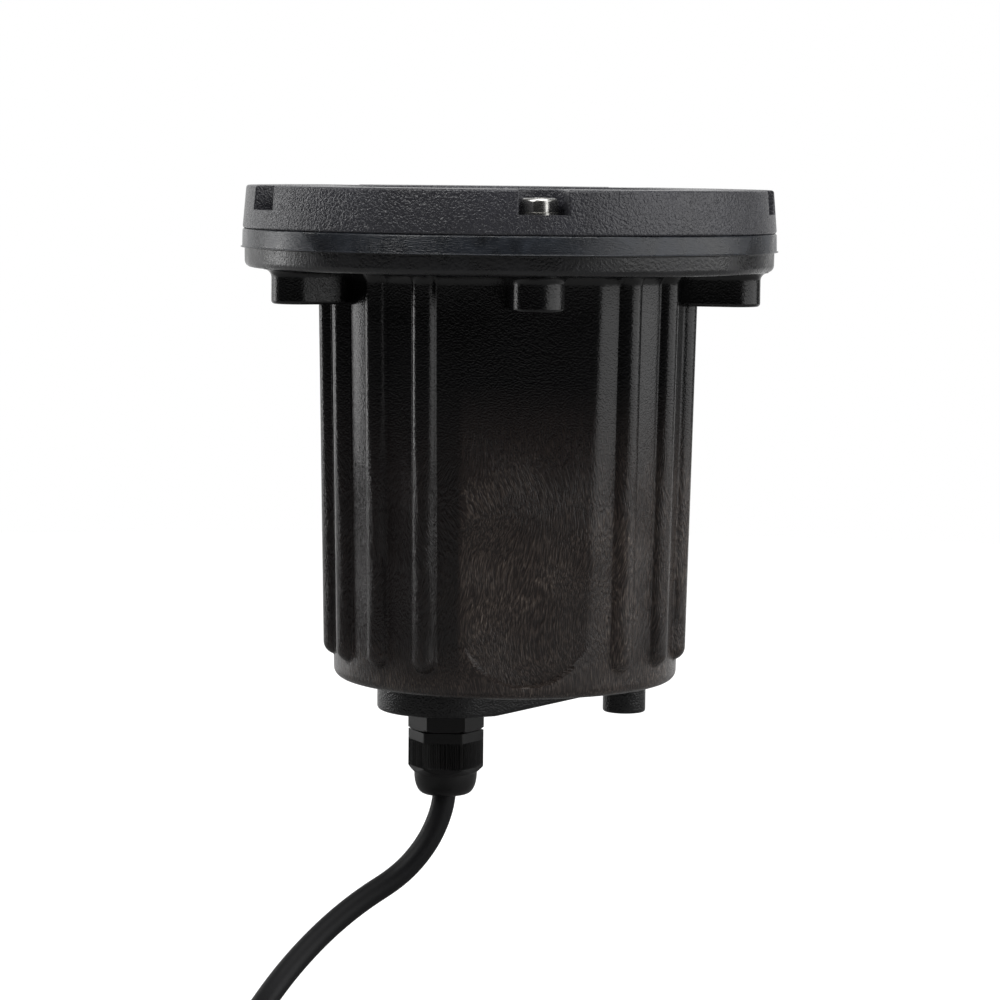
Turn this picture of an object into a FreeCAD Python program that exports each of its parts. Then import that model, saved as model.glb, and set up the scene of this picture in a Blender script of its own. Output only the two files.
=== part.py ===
import FreeCAD, Part
import math
import os
import re
import Sketcher
from FreeCAD import Vector

# In ground well light: a ribbed composite housing that hangs in the ground by its flange, a cover
# ring with a flat glass held by screws, a reflector lamp on a carrier that turns and tilts, and a
# rubber cable that leaves through a gland in the floor.
# Frame: millimetres, origin at the middle of the flange's underside, +Z up through the glass,
# -Y through the middle of the front panel and the first cover screw.

SIZES = {
    # housing flange
    "flange_thick": 13.0,       # underside to the seat of the cover ring
    "rim_width": 13.0,          # from the screws' circle to the flange's edge
    "flange_step": 0.8,         # how much less the flange is below its parting line
    "flash_proud": 0.6,         # thin lip that the mould's parting line leaves
    "flash_low": 6.5,
    "flash_high": 7.1,
    "flange_round": 2.0,
    "let_in_depth": 1.0,        # how far the pot and the bosses reach into the flange
    "let_in_room": 0.4,         # the bosses' room in it
    # housing wall, a slightly tapered pot
    "wall_lean": 2.76,          # how much narrower it is at its floor
    "wall_thick": 4.1,
    "pot_depth": 138.6,
    "floor_thick": 4.0,
    "wall_root_round": 3.5,
    "base_round": 3.0,
    # ribs down the sides, half round with a rounded lower end
    "rib_rad": 4.5,
    "rib_proud": 3.55,
    "rib_end_drop": 131.0,
    "rib_first_angle": 33.6,
    "rib_pitch_angle": 18.8,
    # flat panels, front and back
    "panel_inset": 4.76,
    "panel_draft": 0.62,
    "panel_half_width": 22.0,
    "panel_end_drop": 134.4,
    "panel_wall": 4.3,
    # bosses for the cover screws
    "screw_inset": 10.6,        # from the gasket to the screws' circle
    "boss_rad": 8.4,
    "boss_drop": 11.3,
    "boss_edge": 0.8,
    # lamp cavity in the flange
    "ledge_width": 3.04,
    "ledge_height": 4.0,
    # gland pad and foot stub under the floor
    "gland_offset": 20.0,
    "pad_rad": 23.6,
    "pad_thick": 11.4,
    "pad_tip_rad": 6.0,
    "pad_tip_offset": 30.0,
    "pad_ramp_angle": 8.3,
    "pad_ramp_offset": 5.0,
    "stub_offset": 41.4,
    "stub_rad": 7.35,
    "stub_drop": 12.8,
    # cover ring
    "ring_height": 14.4,
    "ring_draft": 1.25,
    "ring_edge": 0.8,
    "ring_seam": 0.45,
    "aperture_inset": 1.5,      # how much narrower the ring's opening is than the cavity
    "aperture_edge": 1.2,
    "lip_thick": 4.4,
    "pocket_rad": 7.95,
    "pocket_depth": 8.0,
    "pass_rad": 3.3,
    # glass and its gasket
    "glass_lap": 5.9,           # how far the glass reaches under the ring
    "glass_thick": 6.5,
    "glass_edge": 0.7,
    "gasket_wall": 2.0,
    "gasket_top_leg": 1.5,
    "gasket_lap": 3.8,
    "gasket_room": 0.2,
    # cover screws, washers and threaded inserts
    "shank_rad": 2.95,
    "thread_gap": 0.05,
    "moulded_gap": 0.02,
    "head_rad": 6.05,
    "head_height": 4.7,
    "head_edge": 1.3,
    "socket_across_rad": 2.31,
    "socket_depth": 2.6,
    "washer_rad": 6.5,
    "washer_thick": 0.6,
    "screw_reach": 5.0,
    "insert_rad": 4.6,
    "insert_length": 12.0,
    "insert_sink": 0.2,
    "insert_groove": 0.5,
    # carrier that turns on the ledge
    "carrier_gap": 0.4,
    "carrier_thick": 1.5,
    "carrier_width": 12.8,
    "carrier_play": 0.9,        # between the carrier's bore and the gimbal band
    "ear_thick": 1.2,
    "ear_half_width": 8.0,
    "ear_room": 0.7,
    "pivot_drop": 8.0,
    "pivot_rad": 2.0,
    "pivot_gap": 0.05,
    "finger_rad": 4.0,
    "finger_inset": 6.3,
    "vent_rad": 2.4,
    "snap_wire_rad": 1.0,
    "snap_gap": 0.15,
    "snap_split_angle": 10.0,
    # gimbal band round the lamp
    "band_play": 0.3,           # between the lamp's rim and the band
    "band_thick": 1.0,
    "band_low_drop": 16.0,
    "band_high_drop": 0.5,
    "band_lip_width": 3.8,
    "band_lip_thick": 1.2,
    "pivot_head_rad": 3.6,
    "pivot_head_thick": 1.5,
    "slot_width": 0.9,
    "side_gap": 0.1,
    "spring_washer_rad": 4.4,
    "lamp_wire_rad": 1.0,
    # reflector lamp
    "lamp_rim_rad": 45.0,
    "lamp_rim_height": 9.0,
    "lamp_front_drop": 3.0,
    "lamp_waist_inset": 6.5,
    "lamp_neck_rad": 16.0,
    "lamp_neck_drop": 62.0,
    "lamp_collar_drop": 66.0,
    "bowl_inset": 4.5,
    "bowl_floor_rad": 14.5,
    "bowl_floor_drop": 36.0,
    "fin_thick": 1.6,
    "fin_inset": 4.4,
    "fin_low_rad": 21.5,
    "lens_inset": 2.6,
    "lens_thick": 2.3,
    "lens_crown": 2.0,
    "board_rad": 13.6,
    "board_thick": 1.6,
    "emitter_rad": 7.0,
    "emitter_height": 1.0,
    "cap_rad": 13.1,
    "cap_thread_depth": 0.9,
    "cap_length": 22.0,
    "tip_rad": 4.6,
    "tip_insulator_rad": 9.0,
    "tip_length": 3.0,
    # lampholder and the strap that carries it
    "holder_rad": 18.0,
    "holder_top_drop": 68.0,
    "holder_base_drop": 112.0,
    "holder_bore_rad": 14.0,
    "holder_bore_drop": 100.0,
    "holder_edge": 1.5,
    "sleeve_thick": 0.5,
    "sleeve_length": 28.0,
    "spring_contact_rad": 3.2,
    "strap_thick": 1.2,
    "strap_half_width": 6.0,
    "strap_gap": 2.0,
    "strap_inset": 1.7,
    "strap_knee_drop": 68.0,
    "holder_screw_rad": 1.5,
    "holder_screw_offset": 9.0,
    "holder_screw_depth": 8.0,
    "small_head_rad": 2.9,
    "small_head_thick": 2.0,
    # gland
    "gland_thread_rad": 9.3,
    "gland_hex_flats": 22.4,
    "gland_hex_thick": 5.5,
    "gland_washer_thick": 1.3,
    "gland_washer_rad": 12.3,
    "gland_neck_rad": 8.8,
    "gland_neck_length": 12.0,
    "gland_bore_rad": 5.2,
    "gland_inside_length": 22.0,
    "gland_nut_gap": 1.4,
    "gland_nut_flats": 22.6,
    "gland_nut_corner_rad": 12.9,
    "gland_nut_length": 21.2,
    "gland_dome_rad": 10.75,
    "gland_dome_length": 9.2,
    "gland_mouth_rad": 5.6,
    "gland_seal_rad": 7.4,
    "gland_seal_grip": 6.0,
    "gland_seal_nose": 1.8,
    "gland_seal_wall": 1.2,
    "gland_hex_angle": -33.0,
    "gland_nut_angle": -37.0,
    "locknut_flats": 24.0,
    "locknut_thick": 5.0,
    # terminal block on the floor
    "block_offset": 27.0,
    "block_length": 30.0,
    "block_width": 18.0,
    "block_height": 6.0,
    "block_tower_height": 4.5,
    "block_tower_width": 10.5,
    "block_pitch": 10.0,
    "block_pillar_height": 3.0,
    "block_pillar_rad": 3.4,
    "block_screw_rad": 1.4,
    "block_screw_pitch": 20.0,
    "clamp_side": 4.6,
    "clamp_screw_rad": 1.7,
    "clamp_screw_height": 1.6,
    # cable
    "cable_rad": 4.0,
    "core_rad": 1.25,
    "core_spread": 2.6,
    "end_core_spread": 2.03,
    "sheath_inside": 7.4,
    "coil_inner_rad": 38.0,
    "coil_pitch": 8.55,
    "tail_length": 8.0,
    "end_core_length": 34.0,
    "end_tip_length": 8.0,
    "end_tip_rad": 0.65,
    "tie_gap": 0.35,
    "tie_thick": 1.0,
    "tie_width": 8.0,
}

# Sizes that follow from others, from the lamp outwards.
FOLLOWS = {
    "bowl_rad": "lamp_rim_rad - bowl_inset",
    "fin_top_rad": "lamp_rim_rad - fin_inset",
    "lens_rad": "lamp_rim_rad - lens_inset",
    "lamp_waist_rad": "lamp_rim_rad - lamp_waist_inset",
    "strap_top_half": "lamp_rim_rad - strap_inset",
    "band_lip_rad": "lamp_rim_rad - band_lip_width",
    "band_rad": "lamp_rim_rad + band_play + band_thick",
    "carrier_bore_rad": "band_rad + carrier_play",
    "finger_circle_rad": "carrier_bore_rad + finger_inset",
    "seat_rad": "carrier_bore_rad + carrier_width",
    "wall_top_rad": "seat_rad - ledge_width + wall_thick",
    "wall_base_rad": "wall_top_rad - wall_lean",
    "panel_dist": "wall_top_rad - panel_inset",
    "panel_inner_dist": "panel_dist - panel_wall",
    "aperture_rad": "seat_rad - aperture_inset",
    "glass_rad": "aperture_rad + glass_lap",
    "gasket_inner_rad": "glass_rad - gasket_lap",
    "screw_circle_rad": "glass_rad + gasket_wall + screw_inset",
    "rim_rad": "screw_circle_rad + rim_width",
}
SCREW_COUNT = 5
RIBS_A_SIDE = 7
FIN_COUNT = 18
VENT_COUNT = 12
CAP_RIDGES = 5
INSERT_GROOVES = 2
POLES = (-1, 0, 1)
SIDES = (-1, 1)
ORIGIN = ("0", "0", "0")

# Points of the cable's centre line from the gland's mouth to the coil, chosen by hand (x, y, z).
CABLE_ROUTE = (
    (-20.0, 0.0, -170.6),
    (-20.0, 0.0, -179.1),
    (-22.1, -0.3, -188.3),
    (-26.9, -1.2, -197.7),
    (-35.5, -3.0, -207.1),
    (-49.5, -7.5, -214.7),
    (-62.0, -14.0, -223.3),
    (-73.5, -22.5, -233.0),
    (-83.0, -33.5, -242.2),
    (-90.0, -46.5, -249.0),
    (-94.0, -60.5, -253.3),
    (-96.0, -74.5, -255.3),
    (-96.2, -84.5, -255.5),
)
BEND_SHARE = 0.45       # how much of the shorter run beside a bend its arc takes up
COIL_QUARTERS = 12      # three turns: in on the upper layer, out again on the lower
CLIMB_FIRST = 5         # the quarters between which the cable drops to the lower layer
CLIMB_LAST = 7
TIE_QUARTER = 9         # the quarter turn at which the tie goes round the coil

# Points of a conductor's centre line inside, from the end of the sheath to its clamp: how far out
# from the gland's axis, the share of the way from the sheath to its pole, and how high over the
# end of the sheath.
CORE_ROUTE = (
    (0.0, 0.0, 0.0),
    (0.0, 0.0, 2.2),
    (2.1, 0.0, 5.9),
    (5.9, 0.0, 8.0),
    (12.0, 0.2, 8.0),
    (20.0, 0.5, 7.2),
    (28.0, 0.85, 3.0),
    (34.0, 1.0, -0.75),
)
CORE_BEND_SHARE = 0.49
CORE_COUNT = 3
END_BEND_SHARE = 0.18    # how far along the end conductors leave the sheath's line
END_KNEE_SHARE = 0.5     # and how far along they come down to the ground

doc = FreeCAD.newDocument("well_light")
sheet = doc.addObject("Spreadsheet::Sheet", "Sizes")
nodes = {}


def fill_sheet():
    """Puts the sizes in the sheet, one row each, with the name as the value's alias."""
    rows = list(SIZES.items()) + [(name, f"={text}") for name, text in FOLLOWS.items()]
    for row, (name, size) in enumerate(rows, start=1):
        sheet.set(f"A{row}", name)
        sheet.set(f"B{row}", str(size))
        sheet.setAlias(f"B{row}", name)
        doc.recompute()


def bind(text):
    """An expression in the sheet's terms: every word that names a size points at its cell."""
    known = SIZES.keys() | FOLLOWS.keys()
    return re.sub(r"[a-z][a-z_0-9]*", lambda m: "Sizes." + m[0] if m[0] in known else m[0], str(text))


def value(text):
    """What an expression comes to, for a first guess or a search for edges."""
    return float(eval_probe.evalExpression(bind(text)))


def place(piece, x="0", y="0", z="0", yaw="0", pitch="0", roll="0", around="0", local=ORIGIN):
    """Binds where a piece stands: shifted in its own frame, turned, moved, swung round the main axis."""
    steps = ((ORIGIN, (around, "0", "0")), ((x, y, z), (yaw, pitch, roll)), (local, ORIGIN))
    chain = []
    for spot, turn in steps:
        vector = f"create(<<vector>>; {'; '.join(spot)})"
        rotation = f"create(<<rotation>>; {'; '.join(turn)})"
        chain.append(f"create(<<placement>>; {vector}; {rotation})")
    piece.setExpression("Placement", bind(" * ".join(chain)))
    return piece


def primitive(kind, sizes, **where):
    """A Part primitive whose sizes are expressions."""
    piece = doc.addObject(f"Part::{kind}", kind)
    for name, text in sizes.items():
        piece.setExpression(name, bind(text))
    return place(piece, **where)


def cylinder(rad, height, **where):
    return primitive("Cylinder", {"Radius": rad, "Height": height}, **where)


def sphere(rad, **where):
    return primitive("Sphere", {"Radius": rad}, **where)


def box(length, width, height, **where):
    """A box on its own corner."""
    return primitive("Box", {"Length": length, "Width": width, "Height": height}, **where)


def hexagon(flats, height, **where):
    """A six-sided prism, given by its width across flats."""
    piece = doc.addObject("Part::Prism", "Prism")
    piece.Polygon = 6
    piece.setExpression("Circumradius", bind(f"({flats}) / 2 / cos(30)"))
    piece.setExpression("Height", bind(height))
    return place(piece, **where)


def fuse(pieces):
    joined = doc.addObject("Part::MultiFuse", "Fuse")
    joined.Shapes = pieces
    return joined


def cut(base, tools):
    result = doc.addObject("Part::Cut", "Cut")
    result.Base = base
    result.Tool = tools[0] if len(tools) == 1 else fuse(tools)
    return result


def common(first, second):
    result = doc.addObject("Part::Common", "Common")
    result.Base = first
    result.Tool = second
    return result


def node(name, piece):
    """Names a finished sub-part."""
    piece.Label = name
    nodes[name] = piece
    return piece


def new_body(name):
    return doc.addObject("PartDesign::Body", name)


def sketch_on(body, role, height="0"):
    """A sketch on one of the body's own planes, moved along its normal."""
    sketch = body.newObject("Sketcher::SketchObject", "Sketch")
    plane = [f for f in body.Origin.OriginFeatures if f.Role == role][0]
    sketch.AttachmentSupport = [(plane, "")]
    sketch.MapMode = "FlatFace"
    sketch.setExpression("AttachmentOffset.Base.z", bind(height))
    return sketch


def outline(sketch, corners):
    """A closed outline of straight edges through corners given as pairs of expressions."""
    spots = [Vector(value(x), value(y), 0) for x, y in corners]
    count = len(spots)
    sketch.addGeometry([Part.LineSegment(spots[i], spots[(i + 1) % count]) for i in range(count)], False)
    for i in range(count):
        sketch.addConstraint(Sketcher.Constraint("Coincident", i, 2, (i + 1) % count, 1))
    for i, (x, y) in enumerate(corners):
        for kind, text, size, axis in (("DistanceX", x, spots[i].x, -2), ("DistanceY", y, spots[i].y, -1)):
            if text == "0":
                sketch.addConstraint(Sketcher.Constraint("PointOnObject", i, 1, axis))
            else:
                index = sketch.addConstraint(Sketcher.Constraint(kind, -1, 1, i, 1, size))
                sketch.setExpression(f"Constraints[{index}]", bind(text))
    return sketch


def ring_line(sketch, rad, x="0", y="0"):
    """A circle whose centre and radius are expressions."""
    circle = Part.Circle(Vector(value(x), value(y), 0), Vector(0, 0, 1), value(rad))
    index = sketch.addGeometry(circle, False)
    fix = sketch.addConstraint(Sketcher.Constraint("Radius", index, value(rad)))
    sketch.setExpression(f"Constraints[{fix}]", bind(rad))
    for kind, text, axis in (("DistanceX", x, -2), ("DistanceY", y, -1)):
        if text == "0":
            sketch.addConstraint(Sketcher.Constraint("PointOnObject", index, 3, axis))
        else:
            fix = sketch.addConstraint(Sketcher.Constraint(kind, -1, 1, index, 3, value(text)))
            sketch.setExpression(f"Constraints[{fix}]", bind(text))
    return sketch


def revolve(body, corners):
    """Turns an outline of (radius, height) corners round the body's own Z axis."""
    sketch = outline(sketch_on(body, "XZ_Plane"), corners)
    doc.recompute()
    turn = body.newObject("PartDesign::Revolution", "Revolution")
    turn.Profile = sketch
    turn.ReferenceAxis = (sketch, ["V_Axis"])
    turn.Angle = 360
    doc.recompute()
    return turn


def turned(corners, **where):
    """A whole turned piece."""
    body = new_body("Turned")
    revolve(body, corners)
    return place(body, **where)


def pocket(body, sketch, depth):
    """Cuts a sketch's outline down from its plane."""
    doc.recompute()
    before = body.Shape.Volume
    cutter = body.newObject("PartDesign::Pocket", "Pocket")
    cutter.Profile = sketch
    cutter.setExpression("Length", bind(depth))
    doc.recompute()
    if body.Shape.Volume > before - 1.0:
        raise RuntimeError("a pocket points away from its solid")
    return cutter


def pad(body, sketch, length, middle=False):
    doc.recompute()
    rise = body.newObject("PartDesign::Pad", "Pad")
    rise.Profile = sketch
    rise.setExpression("Length", bind(length))
    rise.Midplane = middle
    doc.recompute()
    return rise


def repeat(body, features, count):
    """Repeats features evenly round the body's Z axis."""
    pattern = body.newObject("PartDesign::PolarPattern", "PolarPattern")
    pattern.Originals = features
    pattern.Axis = (sketch_axis(body), [""])
    pattern.Angle = 360
    pattern.Occurrences = count
    body.Tip = pattern
    doc.recompute()
    return pattern


def sketch_axis(body):
    return [f for f in body.Origin.OriginFeatures if f.Role == "Z_Axis"][0]


def round_rims(body, radius, rims):
    """Rounds the circular edges at the given (radius, height) pairs."""
    base = body.Tip
    shape = base.Shape
    found = []
    for rad, height in rims:
        for number, edge in enumerate(shape.Edges, start=1):
            curve = edge.Curve
            if not isinstance(curve, Part.Circle):
                continue
            if abs(curve.Radius - value(rad)) < 0.01 and abs(curve.Center.z - value(height)) < 0.01:
                found.append(f"Edge{number}")
    if len(found) < len(rims):
        raise RuntimeError("a rim to round is missing")
    rounding = body.newObject("PartDesign::Fillet", "Fillet")
    rounding.Base = (base, found)
    rounding.setExpression("Radius", bind(radius))
    doc.recompute()
    return rounding


fill_sheet()
eval_probe = doc.addObject("App::FeaturePython", "Probe")

RING_TOP = "(flange_thick + ring_height)"
LIP_LOW = "(flange_thick + ring_height - lip_thick)"
GLASS_TOP = "(flange_thick + ring_height - lip_thick - gasket_top_leg)"
POCKET_FLOOR = "(flange_thick + ring_height - pocket_depth)"
FLOOR_TOP = "(floor_thick - pot_depth)"
PAD_LOW = "(-pot_depth - pad_thick)"
HEX_TOP = "(-pot_depth - pad_thick - gland_washer_thick)"
HEX_LOW = "(-pot_depth - pad_thick - gland_washer_thick - gland_hex_thick)"
NUT_TOP = "(-pot_depth - pad_thick - gland_washer_thick - gland_hex_thick - gland_nut_gap)"
NUT_LOW = (
    "(-pot_depth - pad_thick - gland_washer_thick - gland_hex_thick - gland_nut_gap - gland_nut_length)"
)
WALL_TAPER = "((wall_top_rad - wall_base_rad) / pot_depth)"
CARRIER_TOP = "(ledge_height + carrier_thick)"
SNAP_HEIGHT = "(ledge_height + carrier_thick + snap_gap + snap_wire_rad)"
GASKET_SEAT = "(glass_rad + gasket_wall + gasket_room)"
EAR_INNER = "(band_rad + ear_room)"
BAND_INNER = "(band_rad - band_thick)"
HEX_MID = f"({HEX_LOW} + gland_hex_thick / 2)"
NECK_LOW = f"({HEX_LOW} - gland_neck_length)"
SEAL_LOW = f"({NECK_LOW} - gland_seal_nose)"
SCREW_STEP = f"(360 / {SCREW_COUNT})"


# ---------------------------------------------------------------- housing


def housing_outside():
    """The pot and its flange, turned, before ribs, panels and bosses."""
    body = new_body("Pot")
    revolve(
        body,
        [
            ("0", "-pot_depth"),
            ("wall_base_rad", "-pot_depth"),
            ("wall_top_rad", "0"),
            ("rim_rad - flange_step", "0"),
            ("rim_rad - flange_step", "flash_low"),
            ("rim_rad + flash_proud", "flash_low"),
            ("rim_rad + flash_proud", "flash_high"),
            ("rim_rad + 0.1", "flash_high"),
            ("rim_rad", "flange_thick - ring_seam"),
            ("rim_rad - ring_seam", "flange_thick"),
            ("0", "flange_thick"),
        ],
    )
    round_rims(body, "wall_root_round", [("wall_top_rad", "0")])
    round_rims(body, "base_round", [("wall_base_rad", "-pot_depth")])
    round_rims(body, "flange_round", [("rim_rad - flange_step", "0")])
    return body


def panel_cutters():
    """What is taken off the pot for the flat panel on each side, with a half-round lower end."""
    cutters = []
    reach = "wall_top_rad"
    tall = "(panel_end_drop - panel_half_width)"
    for swing in ("0", "180"):
        corner = (f"-{reach} / 2", f"-{reach}", f"-{tall}")
        at = dict(y="-panel_dist", roll="panel_draft", around=swing, local=corner)
        cutters.append(box(reach, reach, tall, **at))
        low = f"-{tall} * cos(panel_draft)"
        inward = f"{tall} * sin(panel_draft) - panel_dist"
        turn = dict(roll="90 + panel_draft", around=swing)
        cutters.append(cylinder("panel_half_width", reach, y=inward, z=low, **turn))
    return cutters


def ribs():
    """Half-round ribs down both sides, leaning with the wall, each ending in a rounded tip."""
    made = []
    lean = f"atan({WALL_TAPER})"
    tip = "(rib_end_drop - rib_rad)"
    out = f"(wall_top_rad - {WALL_TAPER} * {tip} + rib_proud - rib_rad)"
    for side in SIDES:
        for i in range(RIBS_A_SIDE):
            swing = f"{side} * (rib_first_angle + {i} * rib_pitch_angle)"
            at = dict(y=f"-{out}", z=f"-{tip}", roll=lean, around=swing)
            made.append(cylinder("rib_rad", f"({tip} + flange_round) / cos({lean})", **at))
            made.append(sphere("rib_rad", **at))
    return made


def screw_bosses(room="0"):
    """Round bosses under the flange for the cover screws, each webbed to the pot."""
    rad = f"(boss_rad + {room})"
    made = []
    for i in range(SCREW_COUNT):
        at = dict(y="-screw_circle_rad", around=f"{i} * {SCREW_STEP}")
        corners = [
            ("0", "-boss_drop"),
            (f"{rad} - boss_edge", "-boss_drop"),
            (rad, "boss_edge - boss_drop"),
            (rad, "let_in_depth"),
            ("0", "let_in_depth"),
        ]
        made.append(turned(corners, **at))
        inward = "screw_circle_rad - panel_dist + wall_thick / 2"
        low = dict(x=f"-{rad}", z="-boss_drop")
        made.append(box(f"2 * {rad}", inward, "boss_drop + let_in_depth", **at, **low))
    return made


def gland_pad():
    """A thick round pad under the floor where the gland screws in, with a nose that thins away."""
    lean = "asin((pad_rad - pad_tip_rad) / (gland_offset + pad_tip_offset))"
    tall = "pad_thick"
    disc = cylinder("pad_rad", tall, x="-gland_offset", z=PAD_LOW)
    tip = cylinder("pad_tip_rad", tall, x="pad_tip_offset", z=PAD_LOW)
    circles = (("-gland_offset", "pad_rad"), ("pad_tip_offset", "pad_tip_rad"))
    corners = [(f"{x} + {rad} * sin({lean})", f"-{rad} * cos({lean})") for x, rad in circles]
    corners += [(f"{x} + {rad} * sin({lean})", f"{rad} * cos({lean})") for x, rad in reversed(circles)]
    flanks = new_body("Flanks")
    pad(flanks, outline(sketch_on(flanks, "XY_Plane"), corners), tall)
    place(flanks, z=PAD_LOW)
    deep = "(2 * pad_thick)"
    ramp = box("pot_depth", "4 * pad_rad", deep)
    start = dict(x="-pad_ramp_offset", y="-2 * pad_rad", z=PAD_LOW)
    place(ramp, pitch="-pad_ramp_angle", local=("0", "0", f"-{deep}"), **start)
    return cut(fuse([disc, tip, flanks]), [ramp])


def foot_stub():
    return turned(
        [
            ("0", "-stub_drop"),
            ("stub_rad - boss_edge", "-stub_drop"),
            ("stub_rad", "boss_edge - stub_drop"),
            ("stub_rad", "0"),
            ("0", "0"),
        ],
        x="stub_offset",
        z="-pot_depth",
    )


def cavity():
    """The hollow: a tapered pot with flats behind the panels, a ledge and a groove for the snap ring."""
    hollow = turned(
        [
            ("0", FLOOR_TOP),
            ("wall_base_rad - wall_thick", FLOOR_TOP),
            ("wall_top_rad - wall_thick", "ledge_height"),
            ("seat_rad", "ledge_height"),
            ("seat_rad", "flange_thick + 1"),
            ("0", "flange_thick + 1"),
        ]
    )
    flats = []
    for side in SIDES:
        span = "2 * wall_top_rad"
        edge = "panel_inner_dist" if side > 0 else "-panel_inner_dist - wall_top_rad"
        tall = "pot_depth + ledge_height - flange_round"
        flats.append(box(span, "wall_top_rad", tall, x="-wall_top_rad", y=edge, z="-pot_depth"))
    pillars = [
        cylinder(
            "block_pillar_rad",
            "block_pillar_height",
            x="block_offset",
            y=f"{side} * block_screw_pitch / 2",
            z=FLOOR_TOP,
        )
        for side in SIDES
    ]
    return cut(hollow, flats + pillars)


def snap_groove():
    """A groove in the seat's wall for the snap ring that keeps the carrier down."""
    sizes = {"Radius1": "seat_rad - carrier_gap", "Radius2": "snap_wire_rad + thread_gap"}
    return primitive("Torus", sizes, z=SNAP_HEIGHT)


def screw_holes():
    """Under each cover screw, a bore for its insert and a deeper one for the screw's tip."""
    made = []
    for i in range(SCREW_COUNT):
        swing = f"{i} * {SCREW_STEP}"
        low = "flange_thick - insert_sink - insert_length"
        at = dict(y="-screw_circle_rad", z=low, around=swing)
        made.append(cylinder("insert_rad + moulded_gap", "insert_length + 1", **at))
        made.append(
            cylinder(
                "shank_rad + 0.4",
                "screw_reach + 2 + flange_thick",
                y="-screw_circle_rad",
                z="-screw_reach - 2",
                around=swing,
            )
        )
    return made


def gland_hole():
    hole = "gland_thread_rad + thread_gap"
    return cylinder(hole, "pot_depth", x="-gland_offset", z=f"{PAD_LOW} - 1")


def block_pilots():
    """Blind holes for the terminal block's screws, through the pillars into the floor."""
    low = f"{FLOOR_TOP} - floor_thick / 2"
    spots = [dict(x="block_offset", y=f"{side} * block_screw_pitch / 2", z=low) for side in SIDES]
    return [cylinder("block_screw_rad", "block_pillar_height + floor_thick", **spot) for spot in spots]


def build_housing():
    """One moulding kept as five nodes: a pot and bosses let into a flange, a pad and a stub."""
    solid = fuse([cut(housing_outside(), panel_cutters())] + ribs())
    below = cylinder("2 * rim_rad", "2 * pot_depth", z="-2 * pot_depth")
    pocket = cylinder("wall_top_rad + rib_rad", "let_in_depth")
    tenon = cylinder("wall_top_rad", "let_in_depth")
    pot = common(solid, fuse([below, tenon]))
    bosses = fuse(screw_bosses())
    hollows = [cavity(), snap_groove()] + screw_holes()
    node("housing_pot", cut(pot, hollows + [gland_hole()] + block_pilots()))
    sockets = screw_bosses("let_in_room")
    node("housing_flange", cut(solid, hollows + [below, pocket] + sockets))
    node("screw_bosses", cut(bosses, [pot, pocket] + screw_holes()))
    swell = gland_pad()
    node("gland_pad", cut(swell, [gland_hole()]))
    node("foot_stub", cut(foot_stub(), [swell]))


def build_inserts():
    made = []
    low = "flange_thick - insert_sink - insert_length"
    step = f"(insert_length / {2 * INSERT_GROOVES + 1})"
    for i in range(SCREW_COUNT):
        corners = [("shank_rad + thread_gap", low), ("insert_rad", low)]
        for g in range(INSERT_GROOVES):
            start = f"{low} + {2 * g + 1} * {step}"
            end = f"{low} + {2 * g + 2} * {step}"
            groove = "insert_rad - insert_groove"
            corners += [("insert_rad", start), (groove, start), (groove, end), ("insert_rad", end)]
        corners.append(("insert_rad", f"{low} + insert_length"))
        corners.append(("shank_rad + thread_gap", f"{low} + insert_length"))
        made.append(turned(corners, y="-screw_circle_rad", around=f"{i} * {SCREW_STEP}"))
    node("screw_inserts", fuse(made))


# ---------------------------------------------------------------- cover


def build_cover_ring():
    body = new_body("CoverRing")
    revolve(
        body,
        [
            ("aperture_rad", LIP_LOW),
            (GASKET_SEAT, LIP_LOW),
            (GASKET_SEAT, "flange_thick"),
            ("rim_rad - ring_seam", "flange_thick"),
            ("rim_rad", "flange_thick + ring_seam"),
            ("rim_rad - ring_draft", f"{RING_TOP} - ring_edge"),
            ("rim_rad - ring_draft - ring_edge", RING_TOP),
            ("aperture_rad + aperture_edge", RING_TOP),
            ("aperture_rad", f"{RING_TOP} - aperture_edge"),
        ],
    )
    round_plan = ring_line(sketch_on(body, "XY_Plane", RING_TOP), "pocket_rad", y="-screw_circle_rad")
    seat = pocket(body, round_plan, "pocket_depth")
    mouth_plan = outline(
        sketch_on(body, "XY_Plane", RING_TOP),
        [
            ("-pocket_rad", "-screw_circle_rad"),
            ("-pocket_rad", "-rim_rad - ring_edge"),
            ("pocket_rad", "-rim_rad - ring_edge"),
            ("pocket_rad", "-screw_circle_rad"),
        ],
    )
    mouth = pocket(body, mouth_plan, "pocket_depth")
    hole_plan = ring_line(sketch_on(body, "XY_Plane", RING_TOP), "pass_rad", y="-screw_circle_rad")
    hole = pocket(body, hole_plan, "ring_height + 1")
    repeat(body, [seat, mouth, hole], SCREW_COUNT)
    node("cover_ring", body)


def build_glass():
    low = f"{GLASS_TOP} - glass_thick"
    glass = turned(
        [
            ("0", low),
            ("glass_rad - glass_edge", low),
            ("glass_rad", f"{low} + glass_edge"),
            ("glass_rad", f"{GLASS_TOP} - glass_edge"),
            ("glass_rad - glass_edge", GLASS_TOP),
            ("0", GLASS_TOP),
        ]
    )
    node("cover_glass", glass)
    gasket = turned(
        [
            ("gasket_inner_rad", "flange_thick"),
            ("glass_rad + gasket_wall", "flange_thick"),
            ("glass_rad + gasket_wall", LIP_LOW),
            ("gasket_inner_rad", LIP_LOW),
            ("gasket_inner_rad", GLASS_TOP),
            ("glass_rad", GLASS_TOP),
            ("glass_rad", low),
            ("gasket_inner_rad", low),
        ]
    )
    node("glass_gasket", gasket)


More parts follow.
